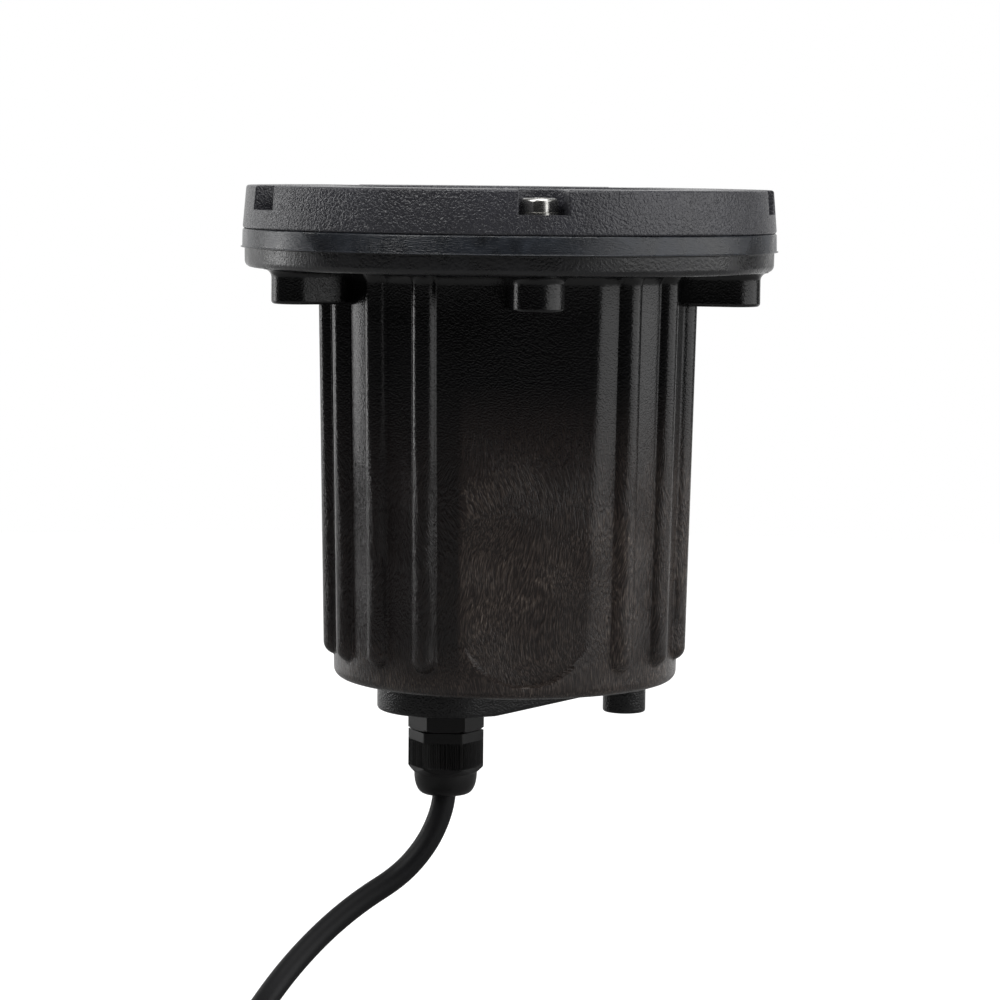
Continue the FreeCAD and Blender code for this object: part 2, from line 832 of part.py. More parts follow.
def build_cover_screws():
    screws = []
    washers = []
    under = f"({POCKET_FLOOR} + washer_thick)"
    for i in range(SCREW_COUNT):
        at = dict(y="-screw_circle_rad", around=f"{i} * {SCREW_STEP}")
        screw = turned(
            [
                ("0", "-screw_reach"),
                ("shank_rad - head_edge", "-screw_reach"),
                ("shank_rad", "head_edge - screw_reach"),
                ("shank_rad", under),
                ("head_rad", under),
                ("head_rad", f"{under} + head_height - head_edge"),
                ("head_rad - 0.3 * head_edge", f"{under} + head_height - 0.4 * head_edge"),
                ("head_rad - head_edge", f"{under} + head_height"),
                ("0", f"{under} + head_height"),
            ],
            **at,
        )
        socket = hexagon(
            "2 * socket_across_rad * cos(30)",
            "socket_depth + 1",
            z=f"{under} + head_height - socket_depth",
            **at,
        )
        screws.append(cut(screw, [socket]))
        washers.append(
            turned(
                [
                    ("pass_rad", POCKET_FLOOR),
                    ("washer_rad", POCKET_FLOOR),
                    ("washer_rad", under),
                    ("pass_rad", under),
                ],
                **at,
            )
        )
    node("cover_screws", fuse(screws))
    node("screw_washers", fuse(washers))


# ---------------------------------------------------------------- carrier


def build_carrier():
    """A flat ring on the ledge with two ears bent down for the lamp's pivots."""
    plate = cylinder("seat_rad - carrier_gap", "carrier_thick", z="ledge_height")
    bore = cylinder("carrier_bore_rad", "carrier_thick + 2", z="ledge_height - 1")
    holes = [bore]
    for i in range(VENT_COUNT):
        angle = f"{i} * 360 / {VENT_COUNT}"
        rad = "finger_rad" if i in (0, VENT_COUNT // 2) else "vent_rad"
        at = dict(y="-finger_circle_rad", z="ledge_height - 1", around=angle)
        holes.append(cylinder(rad, "carrier_thick + 2", **at))
    ears = []
    pivots = []
    for side in SIDES:
        left = EAR_INNER if side > 0 else f"(-{EAR_INNER} - ear_thick)"
        at = dict(x=left, y="-ear_half_width", z="-pivot_drop")
        ears.append(box("ear_thick", "2 * ear_half_width", f"pivot_drop + {CARRIER_TOP}", **at))
        ears.append(cylinder("ear_half_width", "ear_thick", x=left, z="-pivot_drop", pitch="90"))
        spot = dict(x=f"({left} - 1)", z="-pivot_drop", pitch="90")
        pivots.append(cylinder("pivot_rad + pivot_gap", "ear_thick + 2", **spot))
    ring = cut(plate, holes)
    node("lamp_carrier", cut(fuse([ring] + ears), pivots))


def build_snap_ring():
    sizes = {"Radius1": "seat_rad - carrier_gap", "Radius2": "snap_wire_rad"}
    sizes["Angle3"] = "360 - snap_split_angle"
    node("carrier_snap_ring", primitive("Torus", sizes, z=SNAP_HEIGHT))


# ---------------------------------------------------------------- lamp and its gimbal


def build_gimbal_band():
    seat = "(-lamp_front_drop - lamp_rim_height)"
    band = turned(
        [
            (BAND_INNER, "-band_low_drop"),
            ("band_rad", "-band_low_drop"),
            ("band_rad", "-band_high_drop"),
            (BAND_INNER, "-band_high_drop"),
            (BAND_INNER, seat),
            ("band_lip_rad", seat),
            ("band_lip_rad", f"{seat} - band_lip_thick"),
            (BAND_INNER, f"{seat} - band_lip_thick"),
        ]
    )
    holes = []
    for side in SIDES:
        start = f"{BAND_INNER} - band_thick"
        holes.append(cylinder("pivot_rad + moulded_gap", "3 * band_thick", **along_pivot(side, start)))
    node("gimbal_band", cut(band, holes))


def along_pivot(side, start):
    """Where a piece on the tilt axis stands, pointing outward from the given distance."""
    return dict(x=f"{side} * ({start})", z="-pivot_drop", pitch=f"{side} * 90")


def build_pivots():
    """On each side a slotted screw through the ear and a wavy washer that holds the tilt."""
    screws = []
    washers = []
    head = f"({EAR_INNER} + ear_thick + side_gap)"
    for side in SIDES:
        shank = cylinder("pivot_rad", f"{head} - {BAND_INNER}", **along_pivot(side, BAND_INNER))
        cap = turned(
            [
                ("0", "0"),
                ("pivot_head_rad", "0"),
                ("pivot_head_rad", "pivot_head_thick / 2"),
                ("pivot_head_rad - head_edge / 2", "pivot_head_thick"),
                ("0", "pivot_head_thick"),
            ],
            **along_pivot(side, head),
        )
        slot = box("slot_width", "3 * pivot_head_rad", "pivot_head_thick")
        corner = ("-slot_width / 2", "-1.5 * pivot_head_rad", "pivot_head_thick / 2")
        place(slot, local=corner, **along_pivot(side, head))
        screws.append(cut(fuse([shank, cap]), [slot]))
        thick = f"{EAR_INNER} - band_rad - side_gap"
        washers.append(
            turned(
                [
                    ("pivot_rad + moulded_gap", "0"),
                    ("spring_washer_rad", "0"),
                    ("spring_washer_rad", thick),
                    ("pivot_rad + moulded_gap", thick),
                ],
                **along_pivot(side, "band_rad + moulded_gap"),
            )
        )
    node("pivot_screws", fuse(screws))
    node("pivot_washers", fuse(washers))


def build_retaining_ring():
    sizes = {"Radius1": f"{BAND_INNER} - lamp_wire_rad", "Radius2": "lamp_wire_rad"}
    sizes["Angle3"] = "360 - snap_split_angle"
    node("lamp_retaining_ring", primitive("Torus", sizes, z="-lamp_front_drop + lamp_wire_rad"))


def build_lamp_body():
    """Cast shell with a polished bowl in front and cooling fins behind."""
    front = "(-lamp_front_drop)"
    back = "(-lamp_front_drop - lamp_rim_height)"
    body = new_body("LampBody")
    revolve(
        body,
        [
            ("0", "-lamp_collar_drop"),
            ("cap_rad", "-lamp_collar_drop"),
            ("lamp_neck_rad", "-lamp_neck_drop - 1"),
            ("lamp_neck_rad", "-lamp_neck_drop + 3"),
            ("0.5 * lamp_waist_rad + 0.5 * bowl_floor_rad", "-bowl_floor_drop - 4"),
            ("lamp_waist_rad", f"{back} - band_lip_thick - 1"),
            ("lamp_waist_rad", back),
            ("lamp_rim_rad", back),
            ("lamp_rim_rad", f"{front} - 0.6"),
            ("lamp_rim_rad - 0.6", front),
            ("lens_rad", front),
            ("lens_rad", f"{front} - lens_thick"),
            ("bowl_rad", f"{front} - lens_thick"),
            ("0.86 * bowl_rad", f"{front} - lens_thick - 0.25 * (bowl_floor_drop - lamp_front_drop)"),
            ("0.66 * bowl_rad", f"{front} - lens_thick - 0.58 * (bowl_floor_drop - lamp_front_drop)"),
            ("bowl_floor_rad", "-bowl_floor_drop"),
            ("0", "-bowl_floor_drop"),
        ],
    )
    plan = outline(
        sketch_on(body, "XZ_Plane"),
        [
            ("lamp_neck_rad - 1", "-lamp_neck_drop + 2"),
            ("fin_low_rad", "-lamp_neck_drop + 2"),
            ("fin_top_rad", f"{back} - band_lip_thick - 1.5"),
            ("lamp_waist_rad - 1.6", f"{back} - band_lip_thick - 1.5"),
            ("0.5 * lamp_waist_rad + 0.5 * bowl_floor_rad - 1.5", "-bowl_floor_drop - 4"),
        ],
    )
    fin = pad(body, plan, "fin_thick", middle=True)
    repeat(body, [fin], FIN_COUNT)
    node("lamp_body", body)


def build_lamp_front():
    low = "(-lamp_front_drop - lens_thick)"
    lens = turned(
        [
            ("0", low),
            ("lens_rad", low),
            ("lens_rad", "-lamp_front_drop"),
            ("0.75 * lens_rad", "-lamp_front_drop + 0.55 * lens_crown"),
            ("0.4 * lens_rad", "-lamp_front_drop + 0.9 * lens_crown"),
            ("0", "-lamp_front_drop + lens_crown"),
        ]
    )
    node("lamp_lens", lens)
    node("lamp_board", cylinder("board_rad", "board_thick", z="-bowl_floor_drop"))
    on_board = "(board_thick - bowl_floor_drop)"
    emitter = turned(
        [
            ("0", on_board),
            ("emitter_rad", on_board),
            ("emitter_rad", f"{on_board} + emitter_height / 2"),
            ("emitter_rad - 0.8", f"{on_board} + emitter_height"),
            ("0", f"{on_board} + emitter_height"),
        ]
    )
    node("lamp_emitter", emitter)


def build_lamp_cap():
    """Screw cap with a rolled thread, and the contact under it."""
    low = "(-lamp_collar_drop - cap_length)"
    step = f"(cap_length / {2 * CAP_RIDGES + 2})"
    corners = [("0", low), ("cap_rad - 2.5", low)]
    for i in range(2 * CAP_RIDGES + 1):
        rad = "cap_rad" if i % 2 else "cap_rad - cap_thread_depth"
        corners.append((rad, f"{low} + {i + 1} * {step}"))
    corners += [("cap_rad", "-lamp_collar_drop"), ("0", "-lamp_collar_drop")]
    node("lamp_cap", turned(corners))
    insulator = turned(
        [
            ("0", f"{low} - tip_length / 2"),
            ("tip_insulator_rad - 2", f"{low} - tip_length / 2"),
            ("tip_insulator_rad", low),
            ("0", low),
        ]
    )
    node("cap_insulator", insulator)
    contact = turned(
        [
            ("0", f"{low} - tip_length"),
            ("tip_rad - 1", f"{low} - tip_length"),
            ("tip_rad", f"{low} - tip_length / 2"),
            ("0", f"{low} - tip_length / 2"),
        ]
    )
    node("cap_contact", contact)


def build_lampholder():
    holder = turned(
        [
            ("0", "-holder_base_drop"),
            ("holder_rad - holder_edge", "-holder_base_drop"),
            ("holder_rad", "holder_edge - holder_base_drop"),
            ("holder_rad", "-holder_top_drop - holder_edge"),
            ("holder_rad - holder_edge", "-holder_top_drop"),
            ("holder_bore_rad", "-holder_top_drop"),
            ("holder_bore_rad", "-holder_bore_drop"),
            ("0", "-holder_bore_drop"),
        ]
    )
    pilots = []
    screws = []
    under = "(-holder_base_drop - strap_thick)"
    for side in SIDES:
        at = dict(y=f"{side} * holder_screw_offset")
        length = "strap_thick + holder_screw_depth"
        pilots.append(cylinder("holder_screw_rad", length, z=under, **at))
        head = turned(
            [
                ("0", "-small_head_thick"),
                ("small_head_rad - 0.8", "-small_head_thick"),
                ("small_head_rad", "-small_head_thick / 2"),
                ("small_head_rad", "0"),
                ("holder_screw_rad", "0"),
                ("holder_screw_rad", length),
                ("0", length),
            ],
            z=under,
            **at,
        )
        slot = box(
            "2 * small_head_rad",
            "0.9",
            "small_head_thick / 2",
            x="-small_head_rad",
            y=f"{side} * holder_screw_offset - 0.45",
            z=f"{under} - small_head_thick",
        )
        screws.append(cut(head, [slot]))
    node("lampholder", cut(holder, pilots))
    node("holder_screws", fuse(screws))
    low = "(-holder_top_drop - sleeve_length)"
    sleeve = turned(
        [
            ("holder_bore_rad - sleeve_thick", low),
            ("holder_bore_rad", low),
            ("holder_bore_rad", "-holder_top_drop - 1"),
            ("holder_bore_rad - sleeve_thick", "-holder_top_drop - 1"),
        ]
    )
    node("holder_thread_sleeve", sleeve)
    tip = "(lamp_collar_drop + cap_length + tip_length)"
    spring = turned(
        [
            ("0", "-holder_bore_drop"),
            ("1.6 * spring_contact_rad", "-holder_bore_drop"),
            ("1.6 * spring_contact_rad", "-holder_bore_drop + 1"),
            ("spring_contact_rad", "-holder_bore_drop + 1.5"),
            ("spring_contact_rad", f"-{tip}"),
            ("0", f"-{tip}"),
        ]
    )
    node("holder_contact", spring)


def build_strap():
    """U-shaped strap from the gimbal band's lip down and under the lampholder."""
    top = "(-lamp_front_drop - lamp_rim_height - band_lip_thick)"
    knee = "(holder_rad + strap_gap)"
    base = "(-holder_base_drop)"
    out = "strap_thick"
    right = [
        ("strap_top_half", top),
        (knee, "-strap_knee_drop"),
        (knee, base),
    ]
    around = [
        (f"{knee} + {out}", f"{base} - {out}"),
        (f"{knee} + {out}", "-strap_knee_drop"),
        (f"strap_top_half + {out}", top),
    ]
    mirrored = [(f"-({x})", y) for x, y in reversed(right)]
    opposite = [(f"-({x})", y) for x, y in reversed(around)]
    corners = right + mirrored + opposite + around
    body = new_body("Strap")
    plan = outline(sketch_on(body, "YZ_Plane"), corners)
    pad(body, plan, "2 * strap_half_width", middle=True)
    holes = []
    for side in SIDES:
        at = dict(y=f"{side} * holder_screw_offset", z=f"{base} - {out} - 1")
        holes.append(cylinder("holder_screw_rad", "strap_thick + 2", **at))
    node("holder_strap", cut(body, holes))


# ---------------------------------------------------------------- gland


def build_gland():
    at = dict(x="-gland_offset")
    washer = turned(
        [
            ("gland_thread_rad + thread_gap", HEX_TOP),
            ("gland_washer_rad", HEX_TOP),
            ("gland_washer_rad", PAD_LOW),
            ("gland_thread_rad + thread_gap", PAD_LOW),
        ],
        **at,
    )
    node("gland_washer", washer)
    hexes = hexagon("gland_hex_flats", "gland_hex_thick", z=HEX_LOW, yaw="gland_hex_angle + 30", **at)
    thread = cylinder("gland_thread_rad", "gland_inside_length + gland_hex_thick / 2", z=HEX_MID, **at)
    neck = cylinder("gland_neck_rad", "gland_neck_length + gland_hex_thick / 2", z=NECK_LOW, **at)
    bore = cylinder("gland_bore_rad", "pot_depth", z=f"{NECK_LOW} - 1", **at)
    funnel = cylinder("gland_seal_rad + moulded_gap", "gland_seal_grip", z=NECK_LOW, **at)
    node("gland_body", cut(fuse([hexes, thread, neck]), [bore, funnel]))
    seal = turned(
        [
            ("cable_rad + moulded_gap", SEAL_LOW),
            ("cable_rad + gland_seal_wall", SEAL_LOW),
            ("gland_seal_rad", NECK_LOW),
            ("gland_seal_rad", f"{NECK_LOW} + gland_seal_grip"),
            ("cable_rad + moulded_gap", f"{NECK_LOW} + gland_seal_grip"),
        ],
        **at,
    )
    node("gland_seal", seal)
    locknut = hexagon("locknut_flats", "locknut_thick", z=FLOOR_TOP, **at)
    hole = cylinder("gland_thread_rad + thread_gap", "2 * locknut_thick", z=FLOOR_TOP, **at)
    node("gland_locknut", cut(locknut, [hole]))


def build_gland_nut():
    """Domed nut: six flats with turned corners, a plain collar above and a rounded nose below."""
    at = dict(x="-gland_offset")
    flats = hexagon("gland_nut_flats", "gland_nut_length", z=NUT_LOW, yaw="gland_nut_angle + 30", **at)
    nose = f"({NUT_LOW} + gland_dome_length)"
    limit = turned(
        [
            ("0", NUT_LOW),
            ("gland_mouth_rad + 0.8", NUT_LOW),
            ("0.86 * gland_dome_rad", f"{NUT_LOW} + 0.16 * gland_dome_length"),
            ("0.965 * gland_dome_rad", f"{NUT_LOW} + 0.36 * gland_dome_length"),
            ("gland_dome_rad", f"{NUT_LOW} + 0.62 * gland_dome_length"),
            ("gland_dome_rad", f"{NUT_LOW} + 0.8 * gland_dome_length"),
            ("gland_nut_corner_rad", f"{nose} + 0.2 * gland_dome_length"),
            ("gland_nut_corner_rad", NUT_TOP),
            ("0", NUT_TOP),
        ],
        **at,
    )
    inside = turned(
        [
            ("0", f"{NUT_LOW} - 1"),
            ("gland_mouth_rad", f"{NUT_LOW} - 1"),
            ("gland_mouth_rad", NUT_LOW),
            ("cable_rad + side_gap", f"{SEAL_LOW} - side_gap"),
            ("cable_rad + gland_seal_wall", f"{SEAL_LOW} - side_gap"),
            ("gland_seal_rad + side_gap", f"{NECK_LOW} - side_gap"),
            ("gland_neck_rad + side_gap", f"{NECK_LOW} - side_gap"),
            ("gland_neck_rad + side_gap", f"{NUT_TOP} + 1"),
            ("0", f"{NUT_TOP} + 1"),
        ],
        **at,
    )
    node("gland_nut", cut(common(flats, limit), [inside]))


# ---------------------------------------------------------------- terminal block


def build_terminal_block():
    base = f"({FLOOR_TOP} + block_pillar_height)"
    left = "(block_offset - block_width / 2)"
    body = box("block_width", "block_length", "block_height", x=left, y="-block_length / 2", z=base)
    parts = [body]
    tools = []
    clamps = []
    heads = []
    for pole in POLES:
        y = f"({pole} * block_pitch)"
        top = f"({base} + block_height)"
        parts.append(
            box(
                "block_tower_width",
                "0.78 * block_pitch",
                "block_tower_height",
                x="block_offset - block_tower_width / 2",
                y=f"{y} - 0.39 * block_pitch",
                z=top,
            )
        )
        middle = f"({base} + block_height - clamp_side / 2)"
        for side in SIDES:
            at = dict(x=f"block_offset + {side} * block_tower_width / 4", y=y)
            well = "block_tower_height + clamp_side"
            tools.append(cylinder("clamp_screw_rad + 0.15", well, z=middle, **at))
            low = f"{middle} + clamp_side / 2"
            heads.append(cylinder("clamp_screw_rad", "clamp_screw_height", z=low, **at))
        tools.append(
            box(
                "block_width + 2",
                "clamp_side",
                "clamp_side",
                x=f"{left} - 1",
                y=f"{y} - clamp_side / 2",
                z=f"{middle} - clamp_side / 2",
            )
        )
        shell = box(
            "block_tower_width",
            "clamp_side",
            "clamp_side",
            x="block_offset - block_tower_width / 2",
            y=f"{y} - clamp_side / 2",
            z=f"{middle} - clamp_side / 2",
        )
        entry = dict(x="block_offset - block_tower_width / 2 - 1", y=y, z=middle, pitch="90")
        way = cylinder("core_rad", "block_tower_width + 2", **entry)
        clamps.append(cut(shell, [way]))
    screws = []
    for side in SIDES:
        at = dict(x="block_offset", y=f"{side} * block_screw_pitch / 2")
        tools.append(cylinder("block_screw_rad", "block_height + 2", z=f"{base} - 1", **at))
        shaft = f"{FLOOR_TOP} - floor_thick / 4"
        long = "block_pillar_height + floor_thick / 4 + block_height - clamp_side - 1"
        screws.append(cylinder("block_screw_rad", long, z=shaft, **at))
    node("terminal_block", cut(fuse(parts), tools))
    node("terminal_clamps", fuse(clamps))
    node("clamp_screws", fuse(heads))
    node("block_screws", fuse(screws))


# ---------------------------------------------------------------- cable


def toward(start, end, distance):
    """The point at a distance from start on the way to end."""
    return start + (end - start) * (distance / (end - start).Length)


def bend(start, corner, end):
    """The arc that leaves start towards the corner and reaches end from it."""
    middle = (start + end) * 0.5
    cosine = (end - middle).Length / (corner - start).Length
    crest = middle + (corner - middle) * (cosine / (1 + cosine))
    return Part.Arc(start, crest, end).toShape()


def line(start, end):
    return Part.LineSegment(start, end).toShape()


def route(points, share, name):
    """Straight runs joined by arcs that touch them; prints the arcs' radii."""
    edges = []
    radii = []
    last = points[0]
    for before, corner, after in zip(points, points[1:], points[2:]):
        reach = share * min((before - corner).Length, (after - corner).Length)
        start = toward(corner, before, reach)
        end = toward(corner, after, reach)
        edges.append(line(last, start))
        edges.append(bend(start, corner, end))
        radii.append(reach * math.tan((before - corner).getAngle(after - corner) / 2))
        last = end
    edges.append(line(last, points[-1]))
    print(name, "radii", [round(r, 1) for r in radii])
    return edges


def tube(edges, rad):
    """A round bar along a path, checked against its section times its length."""
    first = edges[0]
    start = first.valueAt(first.FirstParameter)
    ahead = first.tangentAt(first.FirstParameter)
    section = Part.Wire([Part.Circle(start, ahead, rad).toShape()])
    shape = Part.Wire(edges).makePipeShell([section], True, False)
    wanted = math.pi * rad**2 * sum(edge.Length for edge in edges)
    if abs(shape.Volume - wanted) > 0.005 * wanted:
        raise RuntimeError("a tube's volume isn't its section times its length")
    return shape


def loose(name, shape):
    """A node whose shape follows a path and not a feature."""
    piece = doc.addObject("Part::Feature", "Loose")
    piece.Shape = shape
    piece.Placement = FreeCAD.Placement()
    return node(name, piece)


def biarc(start, heading, end, heading_there):
    """Two arcs that leave start and reach end along the given headings."""
    span = end - start
    both = heading + heading_there
    spread = 2 * (1 - heading.dot(heading_there))
    across = span.dot(both)
    reach = (math.sqrt(across**2 + spread * span.dot(span)) - across) / spread
    first = start + heading * reach
    second = end - heading_there * reach
    middle = (first + second) * 0.5
    return [bend(start, first, middle), bend(middle, second, end)]


def coil_stop(quarter):
    """Where the coil's centre line is after some quarter turns, and its heading there."""
    begin = Vector(*CABLE_ROUTE[-1]) - Vector(0, value("tail_length"), 0)
    pitch = value("coil_pitch")
    half = COIL_QUARTERS / 2
    inner = value("coil_inner_rad")
    rad = inner + pitch * abs(quarter - half) / 4
    centre = begin + Vector(inner + pitch * half / 4, 0, 0)
    angle = math.pi + quarter * math.pi / 2
    done = (min(max(quarter, CLIMB_FIRST), CLIMB_LAST) - CLIMB_FIRST) / (CLIMB_LAST - CLIMB_FIRST)
    spot = centre + Vector(rad * math.cos(angle), rad * math.sin(angle), -pitch * done)
    way = (CLIMB_LAST - CLIMB_FIRST) * inner * math.pi / 2
    slope = 2 * pitch / way if CLIMB_FIRST < quarter < CLIMB_LAST else 0
    heading = Vector(-math.sin(angle), math.cos(angle), -slope)
    return spot, heading.normalize()


def coil_edges():
    stops = [coil_stop(quarter) for quarter in range(COIL_QUARTERS + 1)]
    edges = [line(Vector(*CABLE_ROUTE[-1]), stops[0][0])]
    for (start, heading), (end, heading_there) in zip(stops, stops[1:]):
        edges += biarc(start, heading, end, heading_there)
    last, heading = stops[-1]
    edges.append(line(last, last + heading * value("tail_length")))
    return edges


def least_gap(edges, rad):
    """The least room between two stretches of a coil that aren't neighbours along it."""
    step = rad / 2
    points = Part.Wire(edges).discretize(Distance=step)
    apart = math.ceil(8 * rad / step)
    nearest = min(
        points[i].distanceToPoint(points[j])
        for i in range(len(points))
        for j in range(i + apart, len(points))
    )
    return nearest - 2 * rad


def build_cable():
    rad = value("cable_rad")
    start = CABLE_ROUTE[0][2]
    tall = f"{FLOOR_TOP} + sheath_inside - ({start})"
    node("inner_cable", cylinder("cable_rad", tall, x="-gland_offset", z=str(start)))
    free = route([Vector(*spot) for spot in CABLE_ROUTE], BEND_SHARE, "supply cable")
    loose("supply_cable", tube(free, rad))
    wound = coil_edges()
    loose("cable_coil", tube(wound, rad))
    print("coil gap", round(least_gap(wound, rad), 2))
    length = sum(edge.Length for edge in free + wound) + value("end_core_length")
    print("cable length from the gland", round(length))


def build_inner_cores():
    made = []
    spread = value("core_spread")
    low = value(f"{FLOOR_TOP} + sheath_inside")
    for pole in POLES:
        points = []
        for out, share, up in CORE_ROUTE:
            y = pole * (spread + share * (value("block_pitch") - spread))
            points.append(Vector(out - value("gland_offset"), y, low + up))
        made.append(tube(route(points, CORE_BEND_SHARE, "inner core"), value("core_rad")))
    loose("inner_cores", Part.Compound(made))


def build_end_cores():
    """Three conductors that fan out from the cut sheath onto the ground, with bare ends."""
    spot, heading = coil_stop(COIL_QUARTERS)
    start = spot + heading * value("tail_length")
    rad = value("core_rad")
    long = value("end_core_length")
    tip = value("end_tip_length")
    bed = bed_height()
    cores = []
    tips = []
    for pole in POLES:
        angle = math.pi / 2 - pole * 2 * math.pi / CORE_COUNT
        away = value("end_core_spread")
        root = start + Vector(away * math.cos(angle), 0, away * math.sin(angle))
        end = Vector(start.x + pole * 2 * value("core_spread"), start.y - long + tip, bed + rad)
        knee = Vector(end.x, start.y - END_KNEE_SHARE * long, end.z)
        points = [root, root + heading * (END_BEND_SHARE * long), knee, end]
        cores.append(tube(route(points, BEND_SHARE, "end core"), rad))
        tips.append(tube([line(end, end + heading * tip)], value("end_tip_rad")))
    loose("cable_cores", Part.Compound(cores))
    loose("core_tips", Part.Compound(tips))


def bed_height():
    """The ground that the coil's tie lies on."""
    lowest = coil_stop(COIL_QUARTERS)[0].z - value("cable_rad")
    return lowest - value("tie_gap") - value("tie_thick")


def build_tie():
    """A flat strap round all the turns where it crosses them."""
    laps = range(COIL_QUARTERS // 4)
    turns = [abs(TIE_QUARTER - 4 * lap - COIL_QUARTERS / 2) / 4 for lap in laps]
    edge, wide, _ = CABLE_ROUTE[-1]
    centre = dict(
        x=f"{edge} + coil_inner_rad + coil_pitch * {COIL_QUARTERS / 8}",
        y=f"{wide} - tail_length",
        z=str(bed_height()),
        yaw=f"{180 + 90 * TIE_QUARTER}",
    )
    start = f"coil_inner_rad + coil_pitch * {min(turns)} - cable_rad - tie_gap - tie_thick"
    across = f"coil_pitch * {max(turns) - min(turns)} + 2 * (cable_rad + tie_gap)"
    tall = "coil_pitch + 2 * (cable_rad + tie_gap)"
    outer = box(f"{across} + 2 * tie_thick", "tie_width", f"{tall} + 2 * tie_thick")
    place(outer, local=(start, "-tie_width / 2", "0"), **centre)
    inner = box(across, "2 * tie_width", tall)
    place(inner, local=(f"{start} + tie_thick", "-tie_width", "tie_thick"), **centre)
    node("coil_tie", cut(outer, [inner]))


# ---------------------------------------------------------------- document


def check_and_write():
    doc.recompute()
    for piece in doc.Objects:
        if "Invalid" in piece.State or "Error" in piece.State:
            raise RuntimeError(f"{piece.Name} failed: {piece.State}")
    for name, piece in nodes.items():
        if piece.Shape.isNull() or not piece.Shape.isValid():
            raise RuntimeError(f"{name} has no valid shape")
    os.makedirs("parts", exist_ok=True)
    for name, piece in nodes.items():
        piece.Shape.exportStep(f"parts/{name}.step")
        print(f"{name:22s} solids {len(piece.Shape.Solids):2d} volume {piece.Shape.Volume:10.1f}")


build_housing()
build_inserts()
build_cover_ring()
build_glass()
build_cover_screws()
build_carrier()
build_snap_ring()
build_gimbal_band()
build_pivots()
build_retaining_ring()
build_lamp_body()
build_lamp_front()
build_lamp_cap()
build_lampholder()
build_strap()
build_gland()
build_gland_nut()
build_terminal_block()
build_cable()
build_inner_cores()
build_end_cores()
build_tie()
check_and_write()
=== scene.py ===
"""The in ground well light's finished surfaces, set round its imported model."""

import math

import bpy
import numpy as np
from mathutils import Matrix, Vector


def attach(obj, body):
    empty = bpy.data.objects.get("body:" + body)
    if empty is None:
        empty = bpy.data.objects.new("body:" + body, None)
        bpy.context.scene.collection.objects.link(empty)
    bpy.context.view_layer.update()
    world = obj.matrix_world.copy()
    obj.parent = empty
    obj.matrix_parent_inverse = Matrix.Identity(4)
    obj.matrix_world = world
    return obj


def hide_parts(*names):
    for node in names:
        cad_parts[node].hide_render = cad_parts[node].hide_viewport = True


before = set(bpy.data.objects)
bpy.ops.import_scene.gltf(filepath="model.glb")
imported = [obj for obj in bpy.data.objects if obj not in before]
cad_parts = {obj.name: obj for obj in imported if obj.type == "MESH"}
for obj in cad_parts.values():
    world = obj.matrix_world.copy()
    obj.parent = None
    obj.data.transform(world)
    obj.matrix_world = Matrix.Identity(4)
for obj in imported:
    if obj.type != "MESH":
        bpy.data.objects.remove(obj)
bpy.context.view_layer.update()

MM = 0.001

# ---------------------------------------------------------------- sizes, in millimetres

RIM_RAD = 90.0
RIM_STEP = 0.8
FLASH_PROUD = 0.6
FLASH_LOW = 6.5
FLASH_HIGH = 7.1
FLANGE_THICK = 13.0
FLANGE_BORE_RAD = 3.35
INSERT_BORE_RAD = 4.6
INSERT_BORE_LOW = 0.8
SEAT_RAD = 60.0
LEDGE_HEIGHT = 4.0
SEAM_EDGE = 0.8

WALL_TOP_RAD = 61.06
WALL_BASE_RAD = 58.3
WALL_THICK = 4.1
POT_DEPTH = 138.6
POT_LET_IN = 1.0
FLOOR_TOP = -134.6
WALL_TAPER = (WALL_TOP_RAD - WALL_BASE_RAD) / POT_DEPTH
ROOT_ROUND = 4.0
BASE_ROUND = 3.0
WITHIN_POT = 40.0
BEYOND_POT = 75.0

RIB_RAD = 4.5
RIB_PROUD = 3.55
RIB_END = -131.0
RIB_FIRST = math.radians(33.6)
RIB_STEP = math.radians(18.8)
RIBS_A_SIDE = 7
RIB_BLEND = 0.6

PANEL_DIST = 56.3
PANEL_SLOPE = math.tan(math.radians(0.62))
PANEL_HALF = 22.0
PANEL_CENTRE = -112.4
PANEL_FLARE = 0.076
PANEL_BLEND = 0.5
PANEL_INNER = 52.0

BOSS_RAD = 8.4
BOSS_LOW = -11.3
BOSS_ROOT = 2.6
BOSS_EDGE = 1.1
BOSS_LET_IN = 0.9
SCREW_CIRCLE = 77.0
SCREW_COUNT = 5
SCREW_TURNS = [2 * math.pi * i / SCREW_COUNT for i in range(SCREW_COUNT)]

PAD_X = -20.0
PAD_RAD = 23.6
PAD_LOW = -150.0
PAD_TIP_X = 30.0
PAD_TIP_RAD = 6.0
PAD_EDGE = 1.3
PAD_HUB_X = PAD_X + 6
RAMP_X = -5.0
RAMP_SLOPE = math.tan(math.radians(8.3))
STUB_X = 41.4
STUB_RAD = 7.35
STUB_LOW = -151.4
STUB_EDGE = 0.9
LET_UP = 1 - POT_DEPTH

RING_TOP = 27.4
RING_TOP_RAD = 88.75
RING_EDGE = 1.0
APERTURE_RAD = 58.5
APERTURE_EDGE = 1.4
LIP_LOW = 23.0
GASKET_SEAT = 66.6
POCKET_RAD = 7.95
POCKET_FLOOR = 19.4
POCKET_EDGE = 0.5
PASS_RAD = 3.3

HEAD_RAD = 6.05
HEAD_LOW = POCKET_FLOOR + 0.6
HEAD_HIGH = HEAD_LOW + 4.7
HEAD_EDGE = 1.3
SHANK_RAD = 2.95
SHANK_LOW = -5.0
SHANK_EDGE = 0.5
KEY_RAD = 2.31
KEY_RIM_RAD = 2.62
KEY_DEPTH = 2.6
PIN_RAD = 0.3

